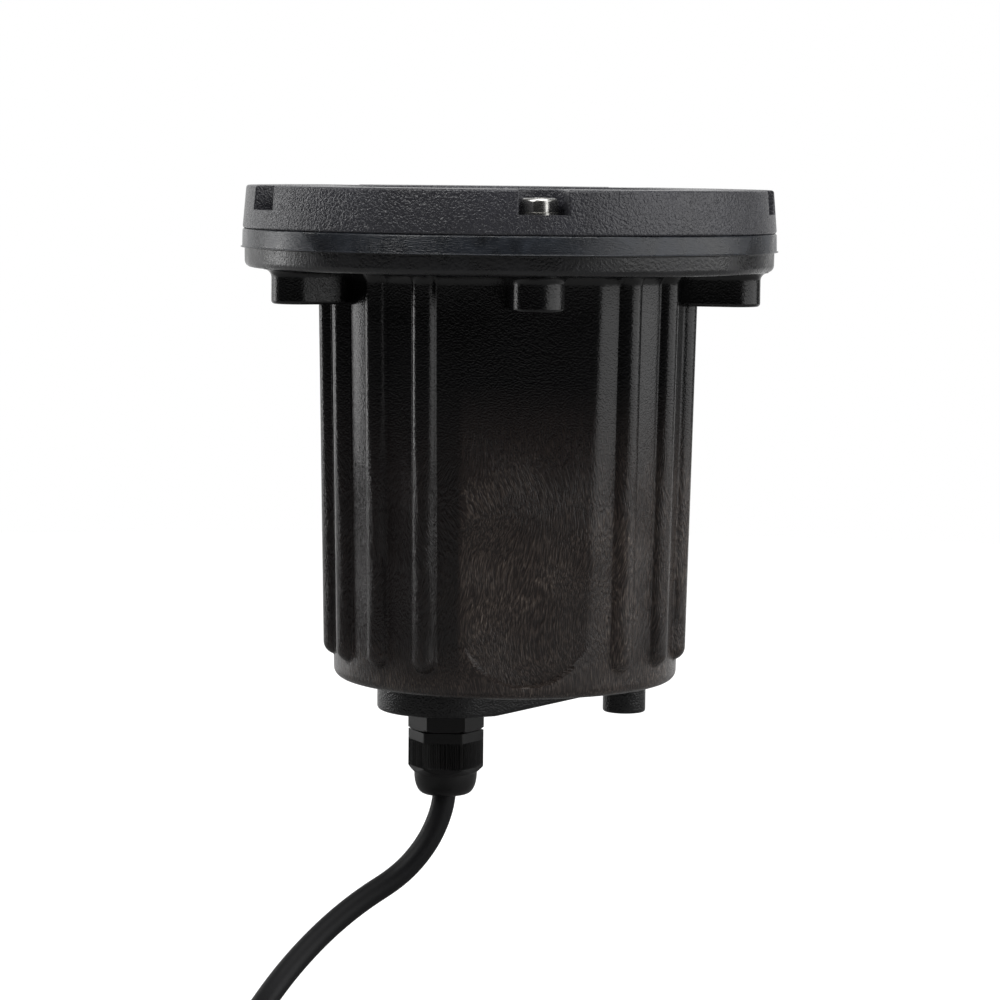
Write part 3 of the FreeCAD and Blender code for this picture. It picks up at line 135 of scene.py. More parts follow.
STEM_TOP = -128.0
STEM_EDGE = 0.6
GLAND_STEM = 9.3
HEX_FLATS = 22.4
HEX_TURN = math.radians(36.3)
HEX_HIGH = -151.3
HEX_LOW = -156.8
NECK_RAD = 8.8
NECK_END = -168.8
NECK_EDGE = 1.2
NUT_FLATS = 22.6
NUT_CORNER = 12.9
NUT_TURN = math.radians(40.5)
NUT_HIGH = -157.1
NUT_END = -179.4
NUT_RIDGES = 132
COLLAR = 3.3
RIDGE_LOW = -169.3
RIDGE_DEPTH = 0.32
RIDGE_GAP = 0.25
DOME_HIGH = -170.2
DOME_RAD = 10.75
MOUTH_RAD = 5.4

CABLE_RAD = 4.0
CABLE_ROUTE = (
    (-20.0, 0.0, -170.6),
    (-20.0, 0.0, -179.1),
    (-22.1, -0.3, -188.3),
    (-26.9, -1.2, -197.7),
    (-35.5, -3.0, -207.1),
    (-49.5, -7.5, -214.7),
    (-62.0, -14.0, -223.3),
    (-73.5, -22.5, -233.0),
    (-83.0, -33.5, -242.2),
    (-90.0, -46.5, -249.0),
    (-94.0, -60.5, -253.3),
    (-96.0, -74.5, -255.3),
    (-96.2, -84.5, -255.5),
)
COIL_CENTRE = (-45.375, -92.5)
COIL_INNER_RAD = 38.0
COIL_PITCH = 8.55
COIL_TURNS = 3
POINTS_A_TURN = 12
COIL_TOP = -255.5
TAIL_END = (-96.2, -100.5, -264.05)

BED = -269.45
FLOOR_RAD = 1700.0
CAMERA_LENS = 126.16
CAMERA_SENSOR = 36.0
CAMERA_PLACE = (-142.8, -1178.4, 35.7)
CAMERA_PAN = math.radians(-6.8)
CAMERA_TILT = math.radians(84.5)
CAMERA_ROLL = math.radians(0.6303)


# ---------------------------------------------------------------- camera, light and floor


def photo_camera():
    """The camera that took the photograph: a long lens a little above the flange, to its left."""
    data = bpy.data.cameras.new("photo_camera")
    data.lens = CAMERA_LENS
    data.sensor_width = CAMERA_SENSOR
    camera = bpy.data.objects.new("photo_camera", data)
    bpy.context.scene.collection.objects.link(camera)
    place = Matrix.Translation([v * MM for v in CAMERA_PLACE])
    turn = Matrix.Rotation(CAMERA_PAN, 4, "Z") @ Matrix.Rotation(CAMERA_TILT, 4, "X")
    camera.matrix_world = place @ turn @ Matrix.Rotation(CAMERA_ROLL, 4, "Z")
    bpy.context.scene.camera = camera


def linear(code):
    """A colour written as sRGB hex, as the linear colour that a shader takes."""
    channels = [int(code[i : i + 2], 16) / 255 for i in (0, 2, 4)]
    return [c / 12.92 if c <= 0.04045 else ((c + 0.055) / 1.055) ** 2.4 for c in channels] + [1.0]


def add(tree, kind, inputs=None, stops=(), **settings):
    """A shader node with its settings. Each input gets a value or the socket that feeds it, and a
    colour ramp gets its (position, sRGB hex) stops."""
    made = tree.nodes.new(kind)
    for name, setting in settings.items():
        setattr(made, name, setting)
    for name, given in (inputs or {}).items():
        if isinstance(given, bpy.types.NodeSocket):
            tree.links.new(given, made.inputs[name])
        else:
            made.inputs[name].default_value = given
    if stops:
        marks = made.color_ramp.elements
        while len(marks) < len(stops):
            marks.new(0.5)
        for mark, (place, code) in zip(marks, stops):
            mark.position = place
            mark.color = linear(code)
    return made


def span(value, start, end, low=0.0, high=1.0):
    """What a map range takes in, so that the value goes from low to high over start to end."""
    return {"Value": value, "From Min": start, "From Max": end, "To Min": low, "To Max": high}


def soft_box(name, place, aim, width, height, watts):
    """A rectangular soft box at a place, facing a point, in metres."""
    data = bpy.data.lights.new(name, "AREA")
    data.shape = "RECTANGLE"
    data.size = width
    data.size_y = height
    data.energy = watts
    lamp = bpy.data.objects.new(name, data)
    bpy.context.scene.collection.objects.link(lamp)
    heading = (Vector(aim) - Vector(place)).to_track_quat("-Z", "Y")
    lamp.matrix_world = Matrix.Translation(place) @ heading.to_matrix().to_4x4()


def seen_directly(tree):
    """What kind of ray it is, and 1 for what the camera sees, also through glass."""
    path = add(tree, "ShaderNodeLightPath")
    rays = {0: path.outputs["Is Camera Ray"], 1: path.outputs["Is Transmission Ray"]}
    return path, add(tree, "ShaderNodeMath", rays, operation="MAXIMUM").outputs[0]


def studio():
    """A soft box at each side, one overhead and one high to the left. The surround is white where
    it is seen. What shines in the object is white behind it and dark in front, where the room
    is, with some light from above."""
    soft_box("left_box", (-1.11, 0.67, 0.15), (0, 0, -0.05), width=0.34, height=1.5, watts=6.5)
    soft_box("right_box", (1.2, -0.5, 0.15), (0, 0, -0.06), width=1.95, height=1.5, watts=18)
    soft_box("top_box", (0.2, -0.3, 1.3), (0, 0, 0), width=1.0, height=1.0, watts=12)
    soft_box("high_left_box", (-0.95, -0.65, 1.0), (0, 0, 0), width=0.7, height=0.7, watts=9)
    world = bpy.data.worlds.new("studio")
    bpy.context.scene.world = world
    world.use_nodes = True
    tree = world.node_tree
    tree.nodes.clear()
    path, seen = seen_directly(tree)
    way = add(tree, "ShaderNodeTexCoord").outputs["Generated"]
    apart = add(tree, "ShaderNodeSeparateXYZ", {"Vector": way})
    back = span(apart.outputs["Y"], 0.6, 0.95, low=0.01, high=1.0)
    above = span(apart.outputs["Z"], 0.3, 0.9, low=0.01, high=0.3)
    sides = {
        0: add(tree, "ShaderNodeMapRange", back).outputs[0],
        1: add(tree, "ShaderNodeMapRange", above).outputs[0],
    }
    bright = add(tree, "ShaderNodeMath", sides, operation="MAXIMUM").outputs[0]
    room = add(tree, "ShaderNodeBackground", {"Color": linear("ffffff"), "Strength": 0.05})
    shine = add(tree, "ShaderNodeBackground", {"Color": linear("ffffff"), "Strength": bright})
    white = add(tree, "ShaderNodeBackground", {"Color": linear("ffffff"), "Strength": 1.0})
    glossy = path.outputs["Is Glossy Ray"]
    unseen = add(tree, "ShaderNodeMixShader", {0: glossy, 1: room.outputs[0], 2: shine.outputs[0]})
    either = add(tree, "ShaderNodeMixShader", {0: seen, 1: unseen.outputs[0], 2: white.outputs[0]})
    add(tree, "ShaderNodeOutputWorld", {"Surface": either.outputs[0]})
    bpy.context.scene.view_settings.view_transform = "Standard"


def floor():
    """A round white sheet under the coil. It keeps shadows, and glows only where it is seen, or
    mirrored in the object from behind it."""
    bpy.ops.mesh.primitive_circle_add(
        vertices=96, radius=FLOOR_RAD * MM, fill_type="NGON", location=(0, 0, BED * MM)
    )
    sheet = bpy.context.object
    sheet.name = "floor"
    paper, tree = blank("white paper, matt")
    path, seen = seen_directly(tree)
    spot = add(tree, "ShaderNodeTexCoord").outputs["Object"]
    away = add(tree, "ShaderNodeSeparateXYZ", {"Vector": spot}).outputs["Y"]
    behind = add(tree, "ShaderNodeMapRange", span(away, 0.3, 1.2)).outputs[0]
    rays = {0: path.outputs["Is Glossy Ray"], 1: behind}
    mirrored = add(tree, "ShaderNodeMath", rays, operation="MULTIPLY").outputs[0]
    seen = add(tree, "ShaderNodeMath", {0: seen, 1: mirrored}, operation="MAXIMUM").outputs[0]
    matt = add(tree, "ShaderNodeBsdfDiffuse", {"Color": linear("a8a8a8")})
    glow = add(tree, "ShaderNodeEmission", {"Color": linear("ffffff"), "Strength": 0.96})
    dark = add(tree, "ShaderNodeEmission", {"Color": linear("000000"), "Strength": 0.0})
    lift = add(tree, "ShaderNodeMixShader", {0: seen, 1: dark.outputs[0], 2: glow.outputs[0]})
    both = add(tree, "ShaderNodeAddShader", {0: matt.outputs[0], 1: lift.outputs[0]})
    add(tree, "ShaderNodeOutputMaterial", {"Surface": both.outputs[0]})
    sheet.data.materials.append(paper)


# ---------------------------------------------------------------- finishes


def blank(name):
    """A new material and its empty node tree."""
    made = bpy.data.materials.new(name)
    made.use_nodes = True
    made.node_tree.nodes.clear()
    return made, made.node_tree


def coat(tree, sockets):
    """The one Principled shader, with its sockets set or fed, on the surface."""
    shader = add(tree, "ShaderNodeBsdfPrincipled", sockets)
    add(tree, "ShaderNodeOutputMaterial", {"Surface": shader.outputs[0]})


def grain(tree, size_mm, detail=3.0, distortion=0.0, stretch=(1.0, 1.0, 1.0), sway=None):
    """Noise whose features are about size_mm across, drawn out along the axes by stretch. Sway
    shifts where it is read, so that drawn out features bend."""
    spot = add(tree, "ShaderNodeTexCoord").outputs["Object"]
    if sway:
        spot = add(tree, "ShaderNodeVectorMath", {0: spot, 1: sway}, operation="ADD").outputs[0]
    scaled = add(tree, "ShaderNodeMapping", {"Vector": spot, "Scale": [1 / s for s in stretch]})
    sizes = {"Scale": 1 / (size_mm * MM), "Detail": detail, "Distortion": distortion}
    return add(tree, "ShaderNodeTexNoise", {"Vector": scaled.outputs[0], **sizes}).outputs["Fac"]


def swirl(tree, size_mm, reach_mm):
    """A shift of up to half reach_mm each way, that turns about over size_mm."""
    spot = add(tree, "ShaderNodeTexCoord").outputs["Object"]
    sizes = {"Scale": 1 / (size_mm * MM), "Detail": 1.0}
    field = add(tree, "ShaderNodeTexNoise", {"Vector": spot, **sizes}).outputs["Color"]
    half = {0: field, 1: [0.5] * 3}
    apart = add(tree, "ShaderNodeVectorMath", half, operation="SUBTRACT").outputs[0]
    scaled = {0: apart, "Scale": reach_mm * MM}
    return add(tree, "ShaderNodeVectorMath", scaled, operation="SCALE").outputs[0]


def moulded_composite():
    """Glass filled polyester, compression moulded: semi gloss black, dotted high on the pot, with
    short glass fibres low on it, upright and swirling, in brown grey; their light tint is partly
    their own colour and partly a painted highlight for the glints along them. Left of one edge of
    the panels they are held back, a painted shade for the side turned from the light, but at the
    ribs' tips they show all round. Fibres are drawn 0.42 mm wide, coarser than real ones, so that
    they show."""
    made, tree = blank("glass filled composite, compression moulded")
    spot = add(tree, "ShaderNodeTexCoord").outputs["Object"]
    apart = add(tree, "ShaderNodeSeparateXYZ", {"Vector": spot})
    across = apart.outputs["X"]
    height = apart.outputs["Z"]
    clouds = grain(tree, 30.0, 2.0, 0.6)
    fibre = grain(tree, 0.42, 2.0, 0.3, (1.0, 1.0, 9.0), swirl(tree, 36.0, 19.0))
    dots = grain(tree, 0.62, 1.0, 0.2)
    spans = {
        # painted shade: left of the panels' edge the fibres' tint falls to 0.35, for the side
        # turned from the light
        "side": span(across, -22.8 * MM, -21.2 * MM, 0.35, 1.0),
        "tips": span(height, -112 * MM, -134 * MM),
        "cloud": span(clouds, 0.3, 0.7, 0.6, 1.0),
        "low": span(height, -35 * MM, -72 * MM),
        "over": span(height, -139.2 * MM, -138 * MM),
        # fibre streaks: lighter partly for the fibres' own colour, partly as a painted highlight of
        # their glints
        "fibre_and_glint": span(fibre, 0.4, 0.72, 0.4, 1.0),
        "depth": span(height, -35 * MM, -70 * MM, 0.4, 1.0),
    }
    part = {k: add(tree, "ShaderNodeMapRange", v).outputs[0] for k, v in spans.items()}
    # painted shade on the left side, lifted again at the ribs' tips
    painted_side_shade = add(tree, "ShaderNodeMath", {0: part["side"], 1: part["tips"]}, operation="MAXIMUM")
    low = add(tree, "ShaderNodeMath", {0: part["low"], 1: part["over"]}, operation="MULTIPLY")
    shown = low.outputs[0]
    for share in (part["cloud"], painted_side_shade.outputs[0], part["fibre_and_glint"]):
        shown = add(tree, "ShaderNodeMath", {0: shown, 1: share}, operation="MULTIPLY").outputs[0]
    # the lighter stops are partly the fibres' own brown grey and partly a painted highlight for
    # their glints
    stops = [(0.0, "060607"), (0.4, "251f1d"), (0.7, "433b36"), (1.0, "746a62")]
    tint = add(tree, "ShaderNodeValToRGB", {"Fac": shown}, stops)
    gloss = add(tree, "ShaderNodeMapRange", span(part["cloud"], 0.0, 1.0, 0.32, 0.2))
    relief = add(tree, "ShaderNodeMix", {"Factor": low.outputs[0], 2: dots, 3: fibre}).outputs[0]
    raised = {"Height": relief, "Distance": 0.26 * MM, "Strength": part["depth"]}
    sockets = {
        "IOR": 1.42,
        "Base Color": tint.outputs["Color"],
        "Roughness": gloss.outputs[0],
        "Normal": add(tree, "ShaderNodeBump", raised).outputs[0],
    }
    coat(tree, sockets)
    return made


def polished_flange():
    """The same composite where the mould is polished: a bluish skin with scratches and dull patches
    above the parting line, and below it a black one with small bright pits."""
    made, tree = blank("composite flange, polished mould face")
    spot = add(tree, "ShaderNodeTexCoord").outputs["Object"]
    height = add(tree, "ShaderNodeSeparateXYZ", {"Vector": spot}).outputs["Z"]
    line = span(height, (FLASH_LOW + 0.1) * MM, (FLASH_LOW + 0.5) * MM)
    upper = add(tree, "ShaderNodeMapRange", line).outputs[0]
    worn = grain(tree, 2.0, 5.0, 0.4, (1.0, 1.0, 0.16))
    patch = grain(tree, 9.0, 3.0, 0.5)
    pits = grain(tree, 0.9, 2.0, 0.3)
    stops = [(0.3, "17191d"), (0.6, "23272e"), (0.8, "30353e")]
    bluish = add(tree, "ShaderNodeValToRGB", {"Fac": patch}, stops).outputs["Color"]
    stops = [(0.4, "0b0b0d"), (0.8, "1b1b1e")]
    black = add(tree, "ShaderNodeValToRGB", {"Fac": patch}, stops).outputs["Color"]
    tint = add(tree, "ShaderNodeMix", {"Factor": upper, 6: black, 7: bluish}, data_type="RGBA")
    dull = add(tree, "ShaderNodeMapRange", span(patch, 0.25, 0.75, 0.2, 0.38))
    relief = add(tree, "ShaderNodeMix", {"Factor": upper, 2: pits, 3: worn}).outputs[0]
    raised = {"Height": relief, "Distance": 0.2 * MM, "Strength": 0.8}
    sockets = {
        "Base Color": tint.outputs[2],
        "Roughness": dull.outputs[0],
        "Normal": add(tree, "ShaderNodeBump", raised).outputs[0],
    }
    coat(tree, sockets)
    return made


def textured_coating():
    """Powder coat over a die casting: black, with a fine leathery orange peel, 0.8 mm across."""
    made, tree = blank("powder coat, black leather texture")
    peel = grain(tree, 0.8, 1.0, 0.6)
    stops = [(0.3, "303034"), (0.8, "3c3c42")]
    tint = add(tree, "ShaderNodeValToRGB", {"Fac": grain(tree, 20.0)}, stops)
    gloss = add(tree, "ShaderNodeMapRange", span(peel, 0.0, 1.0, 0.22, 0.36))
    raised = {"Height": peel, "Distance": 0.42 * MM, "Strength": 1.0}
    sockets = {
        "Base Color": tint.outputs["Color"],
        "Roughness": gloss.outputs[0],
        "Normal": add(tree, "ShaderNodeBump", raised).outputs[0],
    }
    coat(tree, sockets)
    return made


def clear_glass():
    """Toughened float glass with a ground edge: clear, faintly green."""
    made, tree = blank("toughened float glass")
    clear = {"Roughness": 0.02, "IOR": 1.52, "Transmission Weight": 1.0}
    coat(tree, {"Base Color": linear("eef6f2"), **clear})
    return made


def pressed_lens():
    """The lamp's pressed glass lens, its back dimpled every 4 mm so that it glitters."""
    made, tree = blank("pressed glass lens")
    spot = add(tree, "ShaderNodeTexCoord").outputs["Object"]
    sizes = {"Vector": spot, "Scale": 1 / (4.0 * MM), "Randomness": 0.15}
    dimples = add(tree, "ShaderNodeTexVoronoi", sizes, feature="SMOOTH_F1").outputs["Distance"]
    raised = {"Height": dimples, "Distance": 0.8 * MM, "Strength": 0.5}
    clear = {"Roughness": 0.06, "IOR": 1.5, "Transmission Weight": 1.0}
    relief = add(tree, "ShaderNodeBump", raised).outputs[0]
    coat(tree, {"Base Color": linear("f4f8f8"), "Normal": relief, **clear})
    return made


def metal(name, code, rough, grain_mm, depth_mm=0.01):
    """A bare or plated metal, of one colour, whose gloss goes between two roughnesses over its
    grain, which also lifts it by depth_mm."""
    made, tree = blank(name)
    pattern = grain(tree, grain_mm)
    gloss = add(tree, "ShaderNodeMapRange", span(pattern, 0.0, 1.0, *rough))
    raised = {"Height": pattern, "Distance": depth_mm * MM, "Strength": 0.4}
    sockets = {
        "Base Color": linear(code),
        "Metallic": 1.0,
        "Roughness": gloss.outputs[0],
        "Normal": add(tree, "ShaderNodeBump", raised).outputs[0],
    }
    coat(tree, sockets)
    return made


def plain(name, dark, light, rough, grain_mm, depth_mm, specular=0.5):
    """A plastic, rubber or ceramic whose colour goes from dark to light, and its gloss between
    two roughnesses, over its grain, which also lifts it by depth_mm."""
    made, tree = blank(name)
    pattern = grain(tree, grain_mm, 4.0)
    stops = [(0.3, dark), (0.75, light)]
    tint = add(tree, "ShaderNodeValToRGB", {"Fac": pattern}, stops)
    gloss = add(tree, "ShaderNodeMapRange", span(pattern, 0.0, 1.0, *rough))
    raised = {"Height": pattern, "Distance": depth_mm * MM, "Strength": 0.5}
    sockets = {
        "Specular IOR Level": specular,
        "Base Color": tint.outputs["Color"],
        "Roughness": gloss.outputs[0],
        "Normal": add(tree, "ShaderNodeBump", raised).outputs[0],
    }
    coat(tree, sockets)
    return made


def dress(material, slot_name, *names):
    """Gives CAD nodes a material in place of their own."""
    for name in names:
        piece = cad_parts[name]
        piece.data.materials.clear()
        piece.data.materials.append(material)


# ---------------------------------------------------------------- meshes


def skin(name, grid, body, material, slot_name, first=None, last=None, tube=False, crisp=35.0):
    """A closed mesh of four-sided faces between the rows of grid (rows, columns, 3), in
    millimetres. Columns close on themselves. Rows close on themselves where tube is set, or end
    at the poles first and last. Faces are turned outwards by the sign of the enclosed volume.
    Edges sharper than crisp degrees stay sharp."""
    rows, columns = grid.shape[:2]
    spots = grid.reshape(-1, 3)
    index = np.arange(rows * columns).reshape(rows, columns)
    low = index if tube else index[:-1]
    high = np.roll(index, -1, 0) if tube else index[1:]
    quads = np.stack([low, np.roll(low, -1, 1), np.roll(high, -1, 1), high], -1).reshape(-1, 4)
    fans = [np.zeros((0, 3), int)]
    for pole, edge, way in ((first, index[0], 1), (last, index[-1], -1)):
        if pole is not None:
            centre = np.full(columns, len(spots))
            spots = np.vstack([spots, pole])
            fans.append(np.stack([centre, np.roll(edge, -1), edge][::way], -1))
    fans = np.concatenate(fans)
    halves = np.concatenate([quads[:, [0, 1, 2]], quads[:, [0, 2, 3]], fans])
    a, b, c = (spots[halves[:, i]] for i in range(3))
    if np.einsum("ij,ij->i", a, np.cross(b, c)).sum() < 0:
        quads = quads[:, ::-1]
        fans = fans[:, ::-1]
    mesh = bpy.data.meshes.new(name)
    mesh.vertices.add(len(spots))
    mesh.vertices.foreach_set("co", (spots * MM).ravel())
    mesh.loops.add(quads.size + fans.size)
    mesh.loops.foreach_set("vertex_index", np.concatenate([quads.ravel(), fans.ravel()]))
    mesh.polygons.add(len(quads) + len(fans))
    starts = np.concatenate([np.arange(len(quads)) * 4, quads.size + np.arange(len(fans)) * 3])
    mesh.polygons.foreach_set("loop_start", starts)
    mesh.update(calc_edges=True)
    mesh.validate()
    mesh.polygons.foreach_set("use_smooth", np.ones(len(mesh.polygons), bool))
    mesh.set_sharp_from_angle(angle=math.radians(crisp))
    made = bpy.data.objects.new(name, mesh)
    bpy.context.scene.collection.objects.link(made)
    mesh.materials.append(material)
    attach(made, body)
    return made


def rounded(corners, steps=5):
    """A closed outline through (a, b, radius) corners, each swapped for the arc that touches both
    of its sides: the arc's centre lies on the corner's bisector, radius / sin(half angle) away."""
    table = np.array(corners, float)
    spots = table[:, :2]
    rads = table[:, 2]
    back = np.roll(spots, 1, 0) - spots
    ahead = np.roll(spots, -1, 0) - spots
    back /= np.linalg.norm(back, axis=1)[:, None]
    ahead /= np.linalg.norm(ahead, axis=1)[:, None]
    half = np.arccos(np.clip((back * ahead).sum(1), -1, 1)) / 2
    middle = (back + ahead) / np.linalg.norm(back + ahead, axis=1)[:, None]
    centre = spots + middle * (rads / np.sin(half))[:, None]
    reach = (rads / np.tan(half))[:, None]
    start = spots + back * reach - centre
    end = spots + ahead * reach - centre
    begin = np.arctan2(start[:, 1], start[:, 0])
    turn = (np.arctan2(end[:, 1], end[:, 0]) - begin + np.pi) % (2 * np.pi) - np.pi
    angles = begin[:, None] + turn[:, None] * np.linspace(0, 1, steps)[None]
    arcs = centre[:, None] + rads[:, None, None] * np.stack([np.cos(angles), np.sin(angles)], -1)
    path = np.where(rads[:, None, None] > 0, arcs, spots[:, None]).reshape(-1, 2)
    fresh = np.linalg.norm(path - np.roll(path, 1, 0), axis=1) > 1e-6
    return path[fresh]


def polar(rad, angle, z, x=0.0, y=0.0):
    """Points about an upright axis from radii, angles and heights: x + r cos a, y + r sin a, z."""
    return np.stack(
        np.broadcast_arrays(x + rad * np.cos(angle), y + rad * np.sin(angle), z), -1
    )


def turned_grid(profile, sectors, x=0.0, y=0.0):
    """An (r, z) profile carried round an upright axis."""
    angle = np.linspace(0, 2 * np.pi, sectors, endpoint=False)
    return polar(profile[:, :1], angle, profile[:, 1:], x, y)


def around(grid, angle):
    """Points turned about the Z axis."""
    c, s = math.cos(angle), math.sin(angle)
    return grid @ np.array([[c, s, 0], [-s, c, 0], [0, 0, 1]])


def outward(outline):
    """Unit normals of a closed outline that runs counter-clockwise."""
    along = np.roll(outline, -1, 0) - np.roll(outline, 1, 0)
    along /= np.linalg.norm(along, axis=1)[:, None]
    return np.stack([along[:, 1], -along[:, 0]], -1)


def pushed(outline, profile):
    """For each (offset, height) of a profile, the outline moved out along its normals by offset."""
    path = outline[None] + profile[:, :1, None] * outward(outline)[None]
    height = np.broadcast_to(profile[:, 1:, None], path[..., :1].shape)
    return np.concatenate([path, height], -1)


def arc(start, end, steps=8):
    """Sine and cosine of evenly spaced angles in degrees."""
    angle = np.radians(np.linspace(start, end, steps))
    return np.sin(angle), np.cos(angle)


def fold(angle, sides):
    """An angle measured from the middle of the nearest of several even sides."""
    step = 2 * np.pi / sides
    return (angle + step / 2) % step - step / 2


def smooth_least(a, b, blend):
    """The lesser of two distances, with the corner between them rounded over blend."""
    near = np.clip(1 - np.abs(a - b) / blend, 0, None)
    return np.minimum(a, b) - near * near * blend / 4


def smooth_most(a, b, blend):
    """The greater of two distances, rounded likewise."""
    return -smooth_least(-a, -b, blend)


def subtract(piece, cutters):
    """Cuts the cutters out of a piece for good, and removes them."""
    for cutter in cutters:
        step = piece.modifiers.new("cut", "BOOLEAN")
        step.operation = "DIFFERENCE"
        step.solver = "EXACT"
        step.object = cutter
    depsgraph = bpy.context.evaluated_depsgraph_get()
    mesh = bpy.data.meshes.new_from_object(piece.evaluated_get(depsgraph))
    piece.modifiers.clear()
    material = piece.data.materials[0]
    piece.data = mesh
    mesh.materials.clear()
    mesh.materials.append(material)
    mesh.set_sharp_from_angle(angle=math.radians(35))
    for cutter in cutters:
        bpy.data.objects.remove(cutter)


# ---------------------------------------------------------------- cable


def cable(rubber):
    """One cord from the gland to its cut end: down, out to the left, and three turns in two
    layers. A turn's radius falls by a pitch to the coil's middle turn and grows again, and there
    the coil drops by a pitch. Points lie outside the turns, by 1 / cos(half a step)."""
    step = 1 / POINTS_A_TURN
    turn = (np.arange(COIL_TURNS * POINTS_A_TURN) + 0.5) * step
    rad = COIL_INNER_RAD + COIL_PITCH * np.abs(turn - COIL_TURNS / 2)
    rad = rad / math.cos(math.pi * step)
    drop = np.clip((turn - 1.25) / 0.5, 0, 1)
    coil = polar(rad, np.pi + turn * 2 * np.pi, COIL_TOP - COIL_PITCH * drop, *COIL_CENTRE)
    points = np.vstack([np.array(CABLE_ROUTE), coil, [TAIL_END]]) * MM
    data = bpy.data.curves.new("supply_lead", "CURVE")
    data.dimensions = "3D"
    spline = data.splines.new("NURBS")
    spline.points.add(len(points) - 1)
    spline.points.foreach_set("co", np.column_stack([points, np.ones(len(points))]).ravel())
    spline.order_u = 3
    spline.use_endpoint_u = True
    data.resolution_u = 6
    data.bevel_depth = CABLE_RAD * MM
    data.bevel_resolution = 7
    data.use_fill_caps = True
    data.materials.append(rubber)
    lead = bpy.data.objects.new("supply_lead", data)
    bpy.context.scene.collection.objects.link(lead)
    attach(lead, "housing")
    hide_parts("supply_cable", "cable_coil")


# ---------------------------------------------------------------- housing


def pot_distance(rad, angle, z):
    """How far a point is outside the pot's wall, ribs and panels, before its top and bottom edges
    are rounded. The wall is a cone. A rib is a round bar, found by folding the angle onto the
    nearest rib, that ends in a ball. A panel is what lies beyond a plane and inside a U."""
    x = rad * np.cos(angle)
    y = rad * np.sin(angle)
    cone = WALL_TOP_RAD + WALL_TAPER * z
    bearing = np.abs(np.arctan2(x, -y))
    rib = np.clip(np.round((bearing - RIB_FIRST) / RIB_STEP), 0, RIBS_A_SIDE - 1)
    off = bearing - RIB_FIRST - rib * RIB_STEP
    centre = cone + RIB_PROUD - RIB_RAD
    under = np.clip(RIB_END + RIB_RAD - z, 0, None)
    bar = np.sqrt((rad * np.cos(off) - centre) ** 2 + (rad * np.sin(off)) ** 2 + under**2)
    solid = smooth_least(rad - cone, bar - RIB_RAD, RIB_BLEND)
    above = np.clip(z - PANEL_CENTRE, 0, None)
    below = np.clip(PANEL_CENTRE - z, 0, None)
    inside = np.hypot(x, below) - PANEL_HALF - PANEL_FLARE * above
    beyond = PANEL_DIST + PANEL_SLOPE * z - np.abs(y)
    panel = smooth_most(inside, beyond, PANEL_BLEND)
    return smooth_most(solid, -panel, PANEL_BLEND)


def pot_angles():
    """Angles about the axis for the pot's grid: 1 degree apart, and a quarter of that near ribs
    and the panels' sides."""
    ribs = RIB_FIRST + RIB_STEP * np.arange(RIBS_A_SIDE)
    dense = np.concatenate([ribs, [math.asin(PANEL_HALF / WALL_TOP_RAD)]])
    quarters = np.arange(180 * 4)
    bearing = np.radians(quarters / 4)
    near = np.abs(bearing[:, None] - dense).min(1) < math.radians(5.2)
    near |= np.abs(np.pi - bearing - dense[-1]) < math.radians(3.0)
    half = bearing[near | (quarters % 4 == 0)]
    return np.concatenate([half, half + np.pi]) - np.pi / 2


def build_pot(composite):
    """The pot, along rays from its axis: the cavity's floor and wall, a top edge let into the
    flange, the outside found by halving between two radii, a round bottom edge and a flat
    underside. Towards the flange the outside swells by a quarter round."""
    sine, cosine = arc(0, 90)
    rows_above = np.linspace(-ROOT_ROUND, PANEL_CENTRE, 12)[1:]
    rows_below = np.linspace(PANEL_CENTRE, BASE_ROUND - POT_DEPTH, 60)[1:]
    root = -ROOT_ROUND * (1 - sine)[::-1]
    base = BASE_ROUND * (1 - sine)[1:] - POT_DEPTH
    heights = np.concatenate([[POT_LET_IN], root, rows_above, rows_below, base])
    straight = np.zeros(len(rows_above) + len(rows_below))
    swell = ROOT_ROUND * (1 - cosine)[::-1]
    shrink = -BASE_ROUND * (1 - cosine)[1:]
    swell = np.concatenate([[ROOT_ROUND], swell, straight, shrink])
    angle = pot_angles()[None]
    low = np.full((len(heights), angle.size), WITHIN_POT)
    high = np.full_like(low, BEYOND_POT)
    for _ in range(26):
        middle = (low + high) / 2
        inside = pot_distance(middle, angle, heights[:, None]) < 0
        low = np.where(inside, middle, low)
        high = np.where(inside, high, middle)
    rad = (low + high) / 2 + swell[:, None]
    under = rad[-1:] * np.linspace(1, 0.05, 5)[1:, None]
    wall = np.linspace(FLOOR_TOP + 0.6, POT_LET_IN, 20)
    hollow = np.concatenate([[FLOOR_TOP] * 3, wall])
    cone = (WALL_TOP_RAD + WALL_TAPER * hollow - WALL_THICK)[:, None]
    bore = np.minimum(cone, PANEL_INNER / np.maximum(np.abs(np.sin(angle)), 1e-6))
    bore[:3] *= np.array([0.05, 0.6, 0.988])[:, None]
    rads = np.concatenate([bore, rad, under])
    zs = np.concatenate([hollow, heights, np.full(len(under), -POT_DEPTH)])[:, None]
    made = skin(
        "pot_wall",
        polar(rads, angle, zs),
        "housing",
        composite,
        "housing_composite",
        first=np.array([0, 0, FLOOR_TOP]),
        last=np.array([0, 0, -POT_DEPTH]),
        crisp=50.0,
    )
    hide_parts("housing_pot")


